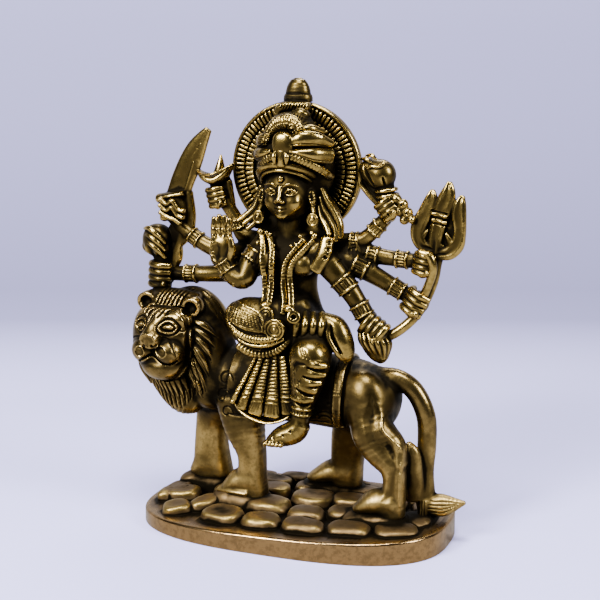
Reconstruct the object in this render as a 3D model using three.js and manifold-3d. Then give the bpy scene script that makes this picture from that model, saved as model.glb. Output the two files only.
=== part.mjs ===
// A small brass group: a many-armed goddess seated on a standing lion, on an oval plinth of rounded stones.
// Millimetres, +Z up. The goddess and the lion's face look along -Y. The lion's body runs along X, with its
// tail to +X.
// The origin is the middle of the plinth's underside.
import * as THREE from "three";
import { mergeVertices } from "three/addons/utils/BufferGeometryUtils.js";
import Module from "manifold-3d";

const wasm = await Module();
wasm.setup();

// Driving dimensions
const LION_LENGTH = 155; // cheek of the mane to the tip of the tail
const GODDESS_HEIGHT = 145; // sole of the hanging foot to the top of the crown
const PLINTH_END_MARGIN = 14; // from the outer paws to the ends of the plinth
const PLINTH_SIDE_MARGIN = 15; // from the outer paws to the sides of the plinth
const PLINTH_HEAD_THICKNESS = 6.4; // the plate was ground thinner under the lion's head
const PLINTH_TAIL_THICKNESS = 10.4;
const PLINTH_EDGE_ROUND = 0.9;
const STONE_HEIGHT = 5.6; // the inner stones above the plate
const STONE_LENGTH = 18; // spacing along a row
const STONE_ROW_DEPTH = 12;
const STONE_RIM = 4.5; // bare border outside the first row
const HALO_RADIUS = 30;
const HALO_THICKNESS = 4.6;
const HALO_BAND = 5; // radial width of each ribbed band
const HALO_BAND_GAP = 2; // smooth groove between the bands
const HALO_RELIEF = 1; // how far the ribs stand out
const HALO_OUTER_RIBS = 36;
const HALO_INNER_RIBS = 24;
const KNOB_HEIGHT = 10.6;
const KNOB_RADIUS = 5.6;
const CLOTH_THICKNESS = 1.5; // saddle cloth over the lion's body
const CLOTH_BORDER = 1; // how far its border stands above it
const BANGLE_RISE = 1.2;
const BANGLE_WIDTH = 4;
const JOINT_GAP = 0.3; // between the castings where they meet
const PAW_SEAT = 0.8; // how deep the paws sit in the stones
const TIDY_TOLERANCE = 0.14; // how far a surface may move where slivers are merged away
const SLIVER = 0.04; // a face lower than this is a sliver

// Each figure was modelled at one size, so every place on it scales with that figure.
const LION_MODELLED = 155;
const GODDESS_MODELLED = 145;
const PLATE_THICKNESS = (PLINTH_HEAD_THICKNESS + PLINTH_TAIL_THICKNESS) / 2;
const PAW_LEVEL = PLATE_THICKNESS + STONE_HEIGHT;
const DEPTH = new THREE.Vector3(0, 1, 0);

const mix = THREE.MathUtils.lerp;
const range = (count) => Array.from({ length: count }, (_, i) => i);
const radians = THREE.MathUtils.degToRad;

// A place turns a figure's own coordinates into the group's.
function place(scale, anchor, at) {
  const point = (x, y, z) => new THREE.Vector3(x, y, z).sub(anchor).multiplyScalar(scale).add(at);
  return { scale, point };
}
const SOLES = new THREE.Vector3(0, 0, 14);
const SADDLE = new THREE.Vector3(0, 3, 80);
const lion = place(LION_LENGTH / LION_MODELLED, SOLES, new THREE.Vector3(0, 0, PAW_LEVEL));
const goddess = place(GODDESS_HEIGHT / GODDESS_MODELLED, SADDLE, lion.point(...SADDLE.toArray()));

function solidOf(geometry) {
  geometry.deleteAttribute("normal");
  geometry.deleteAttribute("uv");
  const merged = mergeVertices(geometry, 1e-4);
  const points = pointsOf({ vertProperties: merged.attributes.position.array });
  return solidFrom(points, trianglesOf({ triVerts: merged.index.array }));
}

function solidFrom(points, triangles) {
  return new wasm.Manifold(
    new wasm.Mesh({
      numProp: 3,
      vertProperties: new Float32Array(points.flatMap((p) => p.toArray())),
      triVerts: new Uint32Array(triangles.flat()),
    }),
  );
}

const pointsOf = ({ vertProperties }) =>
  range(vertProperties.length / 3).map((i) => new THREE.Vector3().fromArray(vertProperties, 3 * i));
const trianglesOf = ({ triVerts }) =>
  range(triVerts.length / 3).map((i) => Array.from(triVerts.slice(3 * i, 3 * i + 3)));

// Joins leave slivers and split flat faces. Each point that lies on the planes round a neighbour, within the
// tolerance, is merged into that neighbour, where the surface stays closed and no face turns over.
function tidied(solid) {
  const mesh = solid.getMesh();
  const points = pointsOf(mesh);
  const triangles = trianglesOf(mesh);
  const round = points.map(() => new Set());
  const planes = points.map(() => new Set());
  const face = new THREE.Triangle();
  const normalOf = (t) => face.set(...t.map((i) => points[i])).getNormal(new THREE.Vector3());
  const height = (t) => {
    const longest = Math.max(...range(3).map((k) => points[t[k]].distanceTo(points[t[(k + 1) % 3]])));
    return (2 * face.set(...t.map((i) => points[i])).getArea()) / longest;
  };
  triangles.forEach((t) => {
    const plane = new THREE.Plane().setFromNormalAndCoplanarPoint(normalOf(t), points[t[0]]);
    t.forEach((i) => {
      round[i].add(t);
      if (height(t) > SLIVER) planes[i].add(plane);
    });
  });
  const nearby = (i) => new Set([...round[i]].flat().filter((j) => j !== i));
  const fits = (from, to) => {
    const shared = nearby(to);
    if ([...nearby(from)].filter((j) => shared.has(j)).length !== 2) return false;
    const onPlane = (plane) => Math.abs(plane.distanceToPoint(points[to])) < TIDY_TOLERANCE;
    if (![...planes[from]].every(onPlane)) return false;
    return [...round[from]].every((t) => {
      if (t.includes(to)) return true;
      const moved = t.map((i) => (i === from ? to : i));
      return height(moved) > SLIVER && (height(t) < SLIVER || normalOf(t).dot(normalOf(moved)) > 0.5);
    });
  };
  const merge = (from, to) => {
    for (const t of round[from]) {
      if (t.includes(to)) t.forEach((i) => i !== from && round[i].delete(t));
      else {
        t[t.indexOf(from)] = to;
        round[to].add(t);
      }
    }
    round[from] = new Set();
    planes[from].forEach((plane) => planes[to].add(plane));
  };
  let merged = true;
  while (merged) {
    merged = false;
    for (const i of range(points.length)) {
      const distance = (j) => points[j].distanceTo(points[i]);
      const near = [...nearby(i)].sort((a, b) => distance(a) - distance(b));
      const to = near.find((j) => fits(i, j));
      if (to === undefined) continue;
      merge(i, to);
      merged = true;
    }
  }
  const left = range(points.length).filter((i) => round[i].size);
  const place = new Map(left.map((i, k) => [i, k]));
  const kept = [...new Set(left.flatMap((i) => [...round[i]]))];
  return solidFrom(left.map((i) => points[i]), kept.map((t) => t.map((i) => place.get(i))));
}

const joined = (...solids) => wasm.Manifold.union(solids.flat(Infinity));

// The biggest body of a solid, without slivers that a cut has left loose.
const mainBody = (solid) => solid.decompose().reduce((a, b) => (b.volume() > a.volume() ? b : a));

// Round a fluted form, every second column of points lies in a groove.
const fluteAt = (angle, sides, depth) => (Math.round((angle * sides) / (2 * Math.PI)) % 2 ? 1 - depth : 1);

// A limb through stations [x, y, z, radius in the XZ plane, radius in depth]. Flutes are grooves along it and
// rolls are swellings one after another. Bangles are ridges at shares of its length.
function limb(where, stations, { sides = 6, rings = 1, grow = 0, flute = 0, rolls = 0, groove = 0.2,
  bangles = [], start = 0.5, end = 0.5 } = {}) {
  const centres = new THREE.CatmullRomCurve3(stations.map(([x, y, z]) => where.point(x, y, z)));
  const sizes = new THREE.CatmullRomCurve3(
    stations.map(([, , , a, b = a]) => new THREE.Vector3(a, b, 0).multiplyScalar(where.scale)),
  );
  const spans = rolls ? 2 * rolls : (stations.length - 1) * rings;
  const half = BANGLE_WIDTH / 2 / centres.getLength();
  const steps = range(spans + 1).map((i) => [i / spans, 0, rolls && i % 2 === 0 ? 1 - groove : 1]);
  bangles.forEach((t) => steps.push([t - half, 0, 1], [t, BANGLE_RISE, 1], [t + half, 0, 1]));
  steps.sort((a, b) => a[0] - b[0]);
  const last = steps.length - 1;
  const tube = new THREE.CylinderGeometry(1, 1, 1, sides, last);
  const points = tube.attributes.position;
  for (let i = 0; i < points.count; i++) {
    const [x, y, z] = [points.getX(i), points.getY(i), points.getZ(i)];
    const ring = Math.round((y + 0.5) * last);
    const [t, rise, share] = steps[ring];
    const along = centres.getTangent(t);
    const depth = DEPTH.clone().addScaledVector(along, -along.dot(DEPTH)).normalize();
    const across = along.clone().cross(depth);
    const size = sizes.getPoint(t);
    const round = share * fluteAt(Math.atan2(x, z), sides, flute);
    const dome = Math.hypot(x, z) < 0.5 ? Math.min(size.x, size.y) * (ring === 0 ? start : end) : 0;
    const reach = (ring === 0 ? -1 : ring === last ? 1 : 0) * (grow + dome);
    const p = centres
      .getPoint(t)
      .addScaledVector(across, x * (size.x * round + grow + rise))
      .addScaledVector(depth, z * (size.y * round + grow + rise))
      .addScaledVector(along, reach);
    points.setXYZ(i, p.x, p.y, p.z);
  }
  return solidOf(tube);
}

// A rounded mass: an ellipsoid at [x, y, z] with radii [a, b, c], turned by tilt degrees in the XZ plane.
function ball(where, at, size, { tilt = 0, sides = 6, rows = 4, grow = 0, flute = 0 } = {}) {
  const sphere = new THREE.SphereGeometry(1, sides, rows).rotateX(Math.PI / 2);
  const points = sphere.attributes.position;
  for (let i = 0; i < points.count; i++) {
    const round = fluteAt(Math.atan2(points.getY(i), points.getX(i)), sides, flute);
    points.setXY(i, points.getX(i) * round, points.getY(i) * round);
  }
  const centre = where.point(...at);
  sphere.scale(...size.map((r) => r * where.scale + grow)).rotateY(radians(-tilt));
  return solidOf(sphere.translate(centre.x, centre.y, centre.z));
}

// A box from one corner to the other, for flat cuts.
function block(low, high) {
  const size = high.clone().sub(low);
  const middle = low.clone().add(high).multiplyScalar(0.5);
  return solidOf(new THREE.BoxGeometry(size.x, size.y, size.z).translate(middle.x, middle.y, middle.z));
}

// Lion
const TRUNK = [
  [-40, 3, 66, 15, 11.5],
  [-20, 3, 63.5, 16.4, 14],
  [4, 3, 63, 16, 14.5],
  [26, 3, 62.5, 16.5, 14.5],
  [41, 3, 61, 12, 10],
];
// Each paw: where its ankle stands, and how far its toes reach from there.
const PAWS = {
  nearFore: { x: -20, y: -6, reach: 13 },
  farFore: { x: -46, y: 11.5, reach: 11 },
  nearHind: { x: 47, y: -11.5, reach: 15 },
  farHind: { x: 17, y: 20, reach: 18 },
};

function lionLegs(grow) {
  const { nearFore, farFore, nearHind, farHind } = PAWS;
  const foot = ({ x, y, reach }, heel) =>
    limb(lion, [[x + heel, y, 17.4, 3.6, 6.2], [x - reach * 0.45, y, 18, 4.6, 6.8],
      [x - reach, y, 16.6, 3.2, 6]], { sides: 5, start: 0.2, grow });
  return [
    limb(lion, [[33, -3, 62, 12, 9], [38.4, -9, 50, 9.8, 7.6], [nearHind.x + 1, nearHind.y, 36, 5.2, 5.5],
      [nearHind.x + 1, nearHind.y, 26, 4.6, 5.2], [nearHind.x, nearHind.y, 16, 6, 6.2]], { grow }),
    limb(lion, [[27, 11, 56, 12, 8], [20, 17, 41, 9.2, 7], [farHind.x, farHind.y, 29, 7.6, 6.5],
      [farHind.x, farHind.y, 17, 7.2, 6.4]], { grow }),
    limb(lion, [[-25, -4, 56, 11, 8], [-22, nearFore.y, 42, 8, 7], [nearFore.x, nearFore.y, 30, 6.2, 6.4],
      [nearFore.x, nearFore.y, 17, 7.4, 6.6]], { grow }),
    limb(lion, [[-42, 8, 54, 11, 8], [-46, farFore.y, 40, 7.6, 6.8], [-47.5, farFore.y, 29, 7.6, 6.6],
      [farFore.x - 1, farFore.y, 17, 9, 7]], { grow }),
    foot(nearFore, 3),
    foot(farFore, 4),
    foot(nearHind, 4),
    foot(farHind, 4),
  ];
}

function lionTail(grow) {
  return [
    // cast web between the hind leg and the tail
    limb(lion, [[52.6, -5, 41, 4.8, 4], [53, -4, 31, 5.6, 4.4], [54.6, -2, 20, 5, 4]], { sides: 5, grow }),
    limb(lion, [[35, 3, 68, 7, 6], [45, 3, 71, 4.4, 4.2], [53, 3, 66.6, 4.4, 4.2], [58.4, 3, 56, 4.4, 4],
      [59.2, 3, 43, 4.2, 4], [57.4, 2, 30, 4.4, 4], [59.6, 1, 18.5, 4.4, 4]], { sides: 5, grow }),
    limb(lion, [[58, 1, 17, 4, 4], [67, 1, 17, 4.6, 4], [76.2, 1, 19, 1.9, 1.9]], { sides: 5, grow }),
    limb(lion, [[60, 0, 18, 3.6, 3.6], [58.5, -2, 10.6, 2.4, 2.4]], { sides: 4, grow }),
  ];
}

function lionHead(grow) {
  const ears = [[-72.5, 14], [-50.5, -14]].map(([x, tilt]) =>
    ball(lion, [x, -6, 99], [5, 3.6, 5.4], { tilt, rows: 3, grow }).subtract(
      ball(lion, [x, -10, 99.4], [2.8, 3.2 - grow, 3.2], { tilt, sides: 4, rows: 3 }),
    ),
  );
  const few = { sides: 5, rows: 3, grow };
  const eyes = [-69, -55].map((x) => ball(lion, [x, -15.2, 91], [3.8, 2.6, 2.4], few));
  const pads = [-66.6, -57.6].map((x) => ball(lion, [x, -16.6, 79.4], [6.2, 7, 5.6], { rows: 3, grow }));
  return [
    ball(lion, [-63, -3, 83.5], [15.8, 14, 17], { sides: 9, rows: 6, grow }),
    ears,
    eyes,
    pads,
    // one ridge over both eyes, and the bridge of the nose
    limb(lion, [[-73, -12, 93.6, 1.8, 2], [-62, -14.6, 96.4, 2.6, 2.4], [-51, -12, 93.6, 1.8, 2]],
      { sides: 4, grow }),
    limb(lion, [[-62, -13, 95, 3.2, 3], [-62, -22, 84.6, 5, 3.4]], { sides: 5, grow }),
    ball(lion, [-62, -13.4, 71.6], [8.4, 7, 4.6], { rows: 3, grow }),
  ];
}

// Locks of the mane, as fluted masses: one body of hair, one fall under the chin, one behind the cheek and a
// fringe between the ears.
function lionMane(grow) {
  return [
    ball(lion, [-53, 4.5, 79], [20.5, 12.5, 27], { sides: 9, rows: 6, grow }),
    limb(lion, [[-57, 2, 60, 11, 10], [-38, 3, 62, 13, 11.5]], { grow }),
    limb(lion, [[-62.5, -4, 74, 14, 10], [-60.4, -3.6, 65, 12.2, 9], [-56, -2, 54.4, 7.6, 6.4]],
      { sides: 16, flute: 0.17, grow }),
    limb(lion, [[-51, -3, 95, 6, 7.5], [-43.4, -1, 83, 9, 10], [-40, 1, 67, 9.4, 11], [-42, 2, 54, 6.4, 8.4]],
      { sides: 12, flute: 0.17, grow }),
    limb(lion, [[-70, -3.6, 98, 4.4, 6.4], [-61, -3.6, 101.2, 4.8, 8], [-52, -3.6, 98.4, 4.4, 7]],
      { rolls: 4, grow }),
  ];
}

// The cloth follows the trunk a little outside it and is trimmed level along its lower edge.
function saddleCloth(grow) {
  const skin = (from, to, out, hem) => {
    const stations = range(3).map((k) => {
      const x = mix(from, to, k / 2);
      const i = TRUNK.findIndex((s) => s[0] > x);
      const t = (x - TRUNK[i - 1][0]) / (TRUNK[i][0] - TRUNK[i - 1][0]);
      return TRUNK[i].map((v, j) => mix(TRUNK[i - 1][j], v, t) + (j > 2 ? out / lion.scale : 0));
    });
    const below = block(
      new THREE.Vector3(lion.point(from, 0, 0).x - LION_LENGTH, -LION_LENGTH, 0),
      new THREE.Vector3(LION_LENGTH, LION_LENGTH, lion.point(0, 0, hem).z - grow),
    );
    return limb(lion, stations, { sides: 10, grow, start: 0, end: 0 }).subtract(below);
  };
  return [
    skin(-30, 23.5, CLOTH_THICKNESS, 50.5),
    skin(19.5, 24, CLOTH_THICKNESS + CLOTH_BORDER, 50),
  ];
}

function lionSolid(grow) {
  const trunk = limb(lion, TRUNK, { sides: 10, grow });
  const whole = joined(
    trunk, lionLegs(grow), lionTail(grow), lionHead(grow), lionMane(grow), saddleCloth(grow),
  );
  // the soles are flat, but the tail's tuft reaches down between the stones
  const ground = block(
    new THREE.Vector3(-LION_LENGTH, -LION_LENGTH, PAW_LEVEL - grow - LION_LENGTH),
    new THREE.Vector3(lion.point(55.5, 0, 0).x, LION_LENGTH, PAW_LEVEL - grow),
  );
  return tidied(mainBody(whole.subtract(ground)));
}

// Goddess
function goddessBody() {
  return [
    ball(goddess, [-3, 3, 90], [20, 13, 12], { sides: 7 }),
    limb(goddess, [[-3, 2, 96, 15.4, 10.5], [-3.5, 1, 107, 13.4, 8.6], [-4, 1, 117, 13.6, 8.6],
      [-5, 1.5, 126, 16.5, 8],
      [-5, 2, 132, 11, 6]], { sides: 8 }),
    [-11.5, 3.5].map((x) => ball(goddess, [x, -6.5, 121.5], [6, 5, 5.6], { rows: 3 })),
    limb(goddess, [[-4.5, 1, 130, 6, 5.5], [-4.4, 0, 142, 5.4, 5.2]], { start: 0, end: 0 }),
  ];
}

function goddessHead() {
  const pair = (x, y, z, size, options) =>
    [-1, 1].map((side) => ball(goddess, [-4.4 + side * x, y, z], size, options));
  return [
    ball(goddess, [-4.4, 0, 151.5], [11.8, 11, 12.4], { sides: 9, rows: 6 }),
    ball(goddess, [-4.4, -5.4, 144.6], [6.4, 4.4, 4.2], { rows: 3 }),
    limb(goddess, [[-4.4, -9.6, 156, 1.2, 1.4], [-4.4, -11.6, 150.4, 2, 1.5]], { sides: 4 }),
    ball(goddess, [-4.4, -9.8, 146.4], [3.2, 1.8, 1.4], { sides: 4, rows: 3 }),
    pair(4.8, -9.2, 153.4, [2.8, 1.7, 1.4], { sides: 4, rows: 3 }),
    pair(5, -8.8, 156.4, [3.8, 2.2, 0.8], { sides: 4, rows: 3 }),
    pair(11.9, -1, 148.6, [2.2, 3, 4.8], { sides: 5, rows: 3 }),
    pair(11.9, -2.4, 141.8, [3, 2.6, 3.4], { sides: 5, rows: 3 }),
  ];
}

// A turban-like crown: wrapped gores over a headband, a knot at the top and a plume in front.
function goddessCrown() {
  return [
    ball(goddess, [-4, 1, 168.4], [17, 12, 12.4], { sides: 16, rows: 5, flute: 0.1 }),
    ball(goddess, [-4, 2.6, 178.6], [11, 8.6, 8], { sides: 10, flute: 0.12 }),
    limb(goddess, [[-4, 0, 159.4, 12.6, 11.4], [-4, 0, 162.8, 13.4, 11.8]], { sides: 9, start: 0, end: 0 }),
    limb(goddess, [[-4, -10.4, 162, 3, 2], [-4.4, -11.4, 168, 4.4, 2], [-4.4, -9, 175, 2.4, 2]],
      { sides: 4 }),
    limb(goddess, [[-12, -6, 171, 1.6], [-6.5, -7.4, 178.6, 2.6], [3.4, -5.4, 180, 2.2]], { sides: 4 }),
  ];
}

// Two lappets hang from behind the ears and flare on the shoulders.
function goddessLappets() {
  const lappet = (x, out) =>
    limb(goddess, [[x, 1, 155, 2.4, 3], [x + out * 1.4, 0, 145, 4, 3.4],
      [x + out * 5.6, -0.6, 133, 6.6, 3.6]],
      { sides: 8, flute: 0.24, start: 0 });
  return [lappet(-18.2, -1), lappet(10.4, 1)];
}

// The ribs are the rays of two star-shaped plates, the smaller one standing on the larger.
function halo() {
  const centre = goddess.point(-5, 11.6, 160);
  const back = centre.y + HALO_THICKNESS / 2;
  const star = (ribs, outer, thickness) => {
    const outline = range(2 * ribs).map((i) => {
      const angle = (Math.PI * (i + 0.5)) / ribs;
      const radius = i % 2 ? outer - HALO_BAND : outer;
      return new THREE.Vector2(radius * Math.sin(angle), radius * Math.cos(angle));
    });
    const shape = new THREE.Shape(outline.reverse());
    const plate = new THREE.ExtrudeGeometry(shape, { depth: thickness, bevelEnabled: false });
    return solidOf(plate.rotateX(Math.PI / 2).translate(centre.x, back, centre.z));
  };
  const disc = new THREE.CylinderGeometry(HALO_RADIUS, HALO_RADIUS, HALO_THICKNESS, HALO_OUTER_RIBS);
  const rim = HALO_RADIUS - 0.7;
  return [
    solidOf(disc.translate(centre.x, centre.y, centre.z)),
    star(HALO_OUTER_RIBS, rim, HALO_THICKNESS + HALO_RELIEF),
    star(HALO_INNER_RIBS, rim - HALO_BAND - HALO_BAND_GAP, HALO_THICKNESS + 2 * HALO_RELIEF),
    haloKnob(centre),
  ];
}

// A bell-shaped knob on a banded foot, over a short crest bar on the halo's face.
function haloKnob(centre) {
  const profile = [[0, -0.3], [0.9, -0.3], [1, 0.1], [1, 0.24], [0.86, 0.3], [0.8, 0.6], [0.5, 0.88], [0, 1]];
  const turned = profile.map(([r, z]) => new THREE.Vector2(r * KNOB_RADIUS, z * KNOB_HEIGHT));
  const knob = new THREE.LatheGeometry(turned, 7).rotateX(Math.PI / 2).scale(1, 0.8, 1);
  const top = centre.z + HALO_RADIUS - 0.6;
  const crest = new THREE.BoxGeometry(15 * goddess.scale, 4, 4 * goddess.scale);
  return [
    solidOf(knob.translate(centre.x + 0.7, centre.y, top)),
    solidOf(crest.translate(centre.x - 1, centre.y - HALO_THICKNESS / 2 - 1, top - 3)),
  ];
}

// A closed hand: four finger rolls side by side. turn is the angle of the thing it grips.
function fist([x, y, z], size, turn) {
  const row = radians(turn);
  const at = (v) => [x + v * size * Math.cos(row), y, z + v * size * Math.sin(row), size * 0.9, size * 0.8];
  return limb(goddess, [at(-0.9), at(0.9)], { sides: 5, rolls: 4, groove: 0.22, start: 0.2, end: 0.2 });
}

// Her right side: raised palm, sabre, mace and bowl.
function rightArms() {
  const fingers = range(4).map((i) => {
    const length = 9 - 1.1 * Math.abs(i - 1.4);
    return limb(goddess, [[-36.6 + 2.6 * i, -8.4, 130, 1.5], [-36.2 + 2.6 * i, -8.8, 131.5 + length, 1.3]],
      { sides: 4, start: 0 });
  });
  return [
    limb(goddess, [[-15, 0, 129, 6, 5.4], [-20.5, -6, 119, 5.4, 5], [-22, -8, 113, 5, 4.6],
      [-28, -8.4, 115, 4.8, 4.4],
      [-32, -8.4, 121, 4.4, 3.8]], { bangles: [0.3, 0.86] }),
    ball(goddess, [-32.6, -8.4, 126.4], [6.2, 3.8, 7.4], { rows: 3 }),
    fingers,
    limb(goddess, [[-29, -10, 122.6, 1.8], [-27, -11, 131.6, 1.4]], { sides: 4, start: 0 }),
    limb(goddess, [[-15, 4, 127, 4.6, 4], [-33, 5, 121.5, 4.4, 4], [-46, 5, 124.5, 3.7, 3.6],
      [-60, 5, 134, 3.1, 3.2]],
      { bangles: [0.86] }),
    fist([-64.8, 4, 140], 6.8, 78),
    limb(goddess, [[-14, 2, 121, 5, 4.4], [-27, 3, 114.4, 4.8, 4.4], [-43, 5, 111.8, 3.9, 3.8],
      [-62, 5, 110.8, 3.4, 3.4]],
      { bangles: [0.84] }),
    fist([-67, 4, 110.6], 6.8, 80),
    limb(goddess, [[-16, 5, 128, 4.4, 3.8], [-28, 6, 130, 3.8, 3.4], [-32.4, 6, 138, 3.2, 3.2],
      [-37, 6, 144.6, 3.2, 3]],
      { bangles: [0.62] }),
    fist([-39.6, 4.5, 147.6], 5.4, 100),
  ];
}

function sabre() {
  return [
    limb(goddess, [[-60.4, 5, 145, 6.2, 1.9], [-57, 5, 155, 6.4, 1.8], [-50.6, 5, 167, 5.2, 1.7],
      [-43, 5, 176.6, 1.8, 1.4]], { sides: 4, rings: 2, end: 0.8 }),
    // a cast strut joins the heel of the blade to the wrist
    limb(goddess, [[-54.6, 5.4, 148, 1.8, 1.8], [-53.6, 5.4, 138, 1.8, 1.8], [-55, 5.4, 129, 2.2, 2]],
      { sides: 4 }),
    limb(goddess, [[-70.6, 4, 145.4, 2, 2.2], [-56, 4, 146.4, 2.4, 2.4]], { sides: 4 }),
  ];
}

function mace() {
  return [
    ball(goddess, [-70.2, 4.5, 126], [7.4, 6.4, 7.8], { sides: 8, rows: 5, flute: 0.1 }),
    limb(goddess, [[-69, 4.5, 121, 4.4, 4], [-67, 4.5, 112, 4, 4]], { start: 0, end: 0 }),
    limb(goddess, [[-63, 5, 114, 2.2, 2], [-60, 5, 124, 2.4, 2.2], [-58, 5, 132, 2.4, 2.2]], { sides: 4 }),
  ];
}

function bowl() {
  return [
    limb(goddess, [[-48.6, 5, 159.4, 1.2, 2], [-43.5, 4.6, 157, 3, 4.4], [-38, 5, 158, 3.2, 4.8],
      [-31.4, 6, 162.4, 1.4, 2.4]], { sides: 5 }),
    limb(goddess, [[-38.4, 5, 159, 3, 2.6], [-38.2, 5, 165.6, 0.7, 0.7]], { sides: 4 }),
    limb(goddess, [[-41, 5, 150, 3, 3], [-41, 5, 157, 3.2, 3]], { sides: 5, start: 0, end: 0 }),
  ];
}

// Her left side: conch, trident, bow and lotus.
function leftArms() {
  return [
    limb(goddess, [[8, 4, 128, 5, 4], [20, 5, 130.4, 3.6, 3.6], [29, 5, 132, 3.2, 3.2],
      [38, 5, 141, 3.2, 3.2]],
      { bangles: [0.86] }),
    fist([40, 4, 146], 5.4, 130),
    limb(goddess, [[41, 3, 148, 2.2], [48, 3, 142.5, 1.9]], { sides: 5 }),
    limb(goddess, [[8, 3, 124, 5, 4], [23, 5, 126.6, 4.4, 4], [38, 6, 124.3, 3.4, 3.4],
      [53, 6, 123.4, 3.2, 3.2]],
      { bangles: [0.84] }),
    fist([56.4, 4, 123], 5.6, 84),
    limb(goddess, [[8, 1, 123, 5.6, 5], [22, 2, 122, 5, 4.6], [34, 3.4, 116.6, 4.2, 4],
      [49, 4.4, 108.6, 3.3, 3.3]],
      { bangles: [0.48, 0.9] }),
    fist([53.4, 3, 106.2], 6, 60),
    limb(goddess, [[9, -3, 127, 6, 5], [18, -3, 118.6, 5.8, 5], [26.4, -2, 108, 4.3, 4.2],
      [33.4, -2, 96.6, 3.8, 3.6]],
      { bangles: [0.46, 0.86] }),
    fist([35.6, -2, 94.4], 5.8, -40),
    // epaulette on the front shoulder
    limb(goddess, [[16.5, -5, 131, 3.6, 3], [11.5, -6.5, 120, 3.4, 3]], { sides: 5 }),
  ];
}

function conch() {
  return [
    ball(goddess, [35.2, 4.5, 161], [8.4, 6, 6.6], { tilt: -35, sides: 7, rows: 5 }),
    limb(goddess, [[31, 4.5, 165, 4, 3.6], [27, 5, 168.4, 1, 1]], { sides: 5 }),
    limb(goddess, [[27.6, 6, 160, 3, 3], [32, 5, 153.5, 3, 3], [39, 4.5, 149, 3, 3]], { sides: 4 }),
    limb(goddess, [[38, 4.5, 149, 4, 4], [39.4, 4.5, 155, 4.4, 4.4]], { sides: 5, start: 0, end: 0 }),
  ];
}

function trident() {
  return [
    limb(goddess, [[59.6, 5, 116, 2.4, 2.2], [62.6, 5.4, 130, 2.5, 2.2], [63.8, 5.4, 141, 3.4, 2],
      [64.6, 5.4, 148, 4, 1.8], [65.7, 5.4, 158, 0.8, 0.8]], { sides: 5, bangles: [0.56] }),
    limb(goddess, [[63, 5, 129, 2.2, 1.8], [55.6, 5, 130.6, 3, 1.8], [54.4, 5, 139, 4.4, 1.6],
      [58.6, 5, 153.6, 1, 0.9]],
      { sides: 4 }),
    limb(goddess, [[61, 5, 129, 2.2, 1.8], [68, 5, 129.6, 2.8, 1.8], [70, 5, 138, 3.6, 1.6],
      [71.4, 5, 151.6, 1, 0.9]],
      { sides: 4 }),
  ];
}

function bow() {
  return [
    limb(goddess, [[57.6, 2, 127, 1.6, 1.6], [61, 1.6, 122, 2.2, 2], [58.6, 1.6, 113, 2, 2],
      [54, 1.6, 106, 1.9, 1.9]],
      { sides: 4 }),
    limb(goddess, [[60.6, 5, 127, 1.8, 1.8], [58.2, 5, 112, 2, 1.8], [54.2, 3, 101.8, 2.4, 2.2],
      [48.2, 1, 95.4, 2.6, 2.2], [39, -1, 90.8, 2.8, 2.6]], { sides: 4 }),
  ];
}

function lotus() {
  return limb(goddess, [[34, -1.5, 93, 5.6, 4.6], [36.4, -1.4, 87, 7.6, 5.8], [39, -1, 80.6, 3.2, 3]],
    { sides: 12, flute: 0.16 });
}

// The folded leg under its cloth, with two border bands that run round the swell of the thigh.
function foldedLeg() {
  const band = (reach, size) =>
    limb(goddess, range(5).map((i) => {
      const a = radians(mix(186, 322, i / 4));
      const front = Math.sqrt(1 - (0.94 * reach) ** 2);
      return [-13 + reach * 14.6 * Math.cos(a), -10 - 11.6 * front, 94 + reach * 13.4 * Math.sin(a), size];
    }), { sides: 3 });
  return [
    limb(goddess, [[0, -3, 96, 12, 10], [-12, -9.6, 93.6, 13, 10], [-21, -11, 96, 9.8, 9],
      [-26.6, -11.4, 98.6, 4, 5]],
      { sides: 8 }),
    band(0.94, 1.6),
    band(0.7, 1.3),
  ];
}

function hangingLeg() {
  const wraps = range(3).map((i) => {
    const t = i / 2;
    return limb(goddess, [[mix(3, 2.4, t), -17, mix(80, 63, t), 1], [mix(12, 8, t), mix(-23, -20.6, t),
      mix(75.6, 60, t), 1.3], [mix(20.6, 13, t), -16, mix(78, 61.5, t), 1]], { sides: 3 });
  });
  return [
    limb(goddess, [[2, 0, 95, 11, 10], [11.4, -11, 88, 9.6, 9], [11.2, -14.4, 78, 8.6, 7.6],
      [9.2, -15, 67, 6.4, 6],
      [7, -16, 53, 4.6, 4.8]], { sides: 7 }),
    wraps,
    limb(goddess, [[6.6, -16.5, 49.6, 5, 4.8], [0, -17, 47.2, 4.2, 4.8], [-6.4, -17.5, 43.8, 2.4, 4.4]],
      { sides: 6 }),
  ];
}

// A fan of pleats hangs between the legs, each pleat wider towards the hem.
function pleatedPanel() {
  return limb(goddess, [[-5, -13, 84, 7, 4.4], [-6.6, -13.6, 72, 9.4, 4.8], [-9.4, -14.4, 57, 15.4, 5]],
    { sides: 20, flute: 0.24, start: 0, end: 0.4 });
}

// Drape over the left hip, gathered into ribs, with a hanging end.
function hipSash() {
  return [
    limb(goddess, [[1, -8, 92, 4, 5], [9, -8, 96, 5.6, 7], [17.6, -5, 94, 5.4, 7]],
      { rolls: 3, groove: 0.14 }),
    limb(goddess, [[16, -3, 95, 5, 6], [23, -4.6, 89, 4.6, 5.4], [23.6, -6, 81, 3.4, 4]],
      { sides: 8, flute: 0.2 }),
  ];
}

// A boss is a round stud facing the viewer.
function boss([x, y, z], r, height) {
  const disc = new THREE.CylinderGeometry(r, r * 0.74, height, 7);
  const centre = goddess.point(x, y, z);
  disc.scale(goddess.scale, goddess.scale, goddess.scale);
  return solidOf(disc.translate(centre.x, centre.y, centre.z));
}

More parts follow.
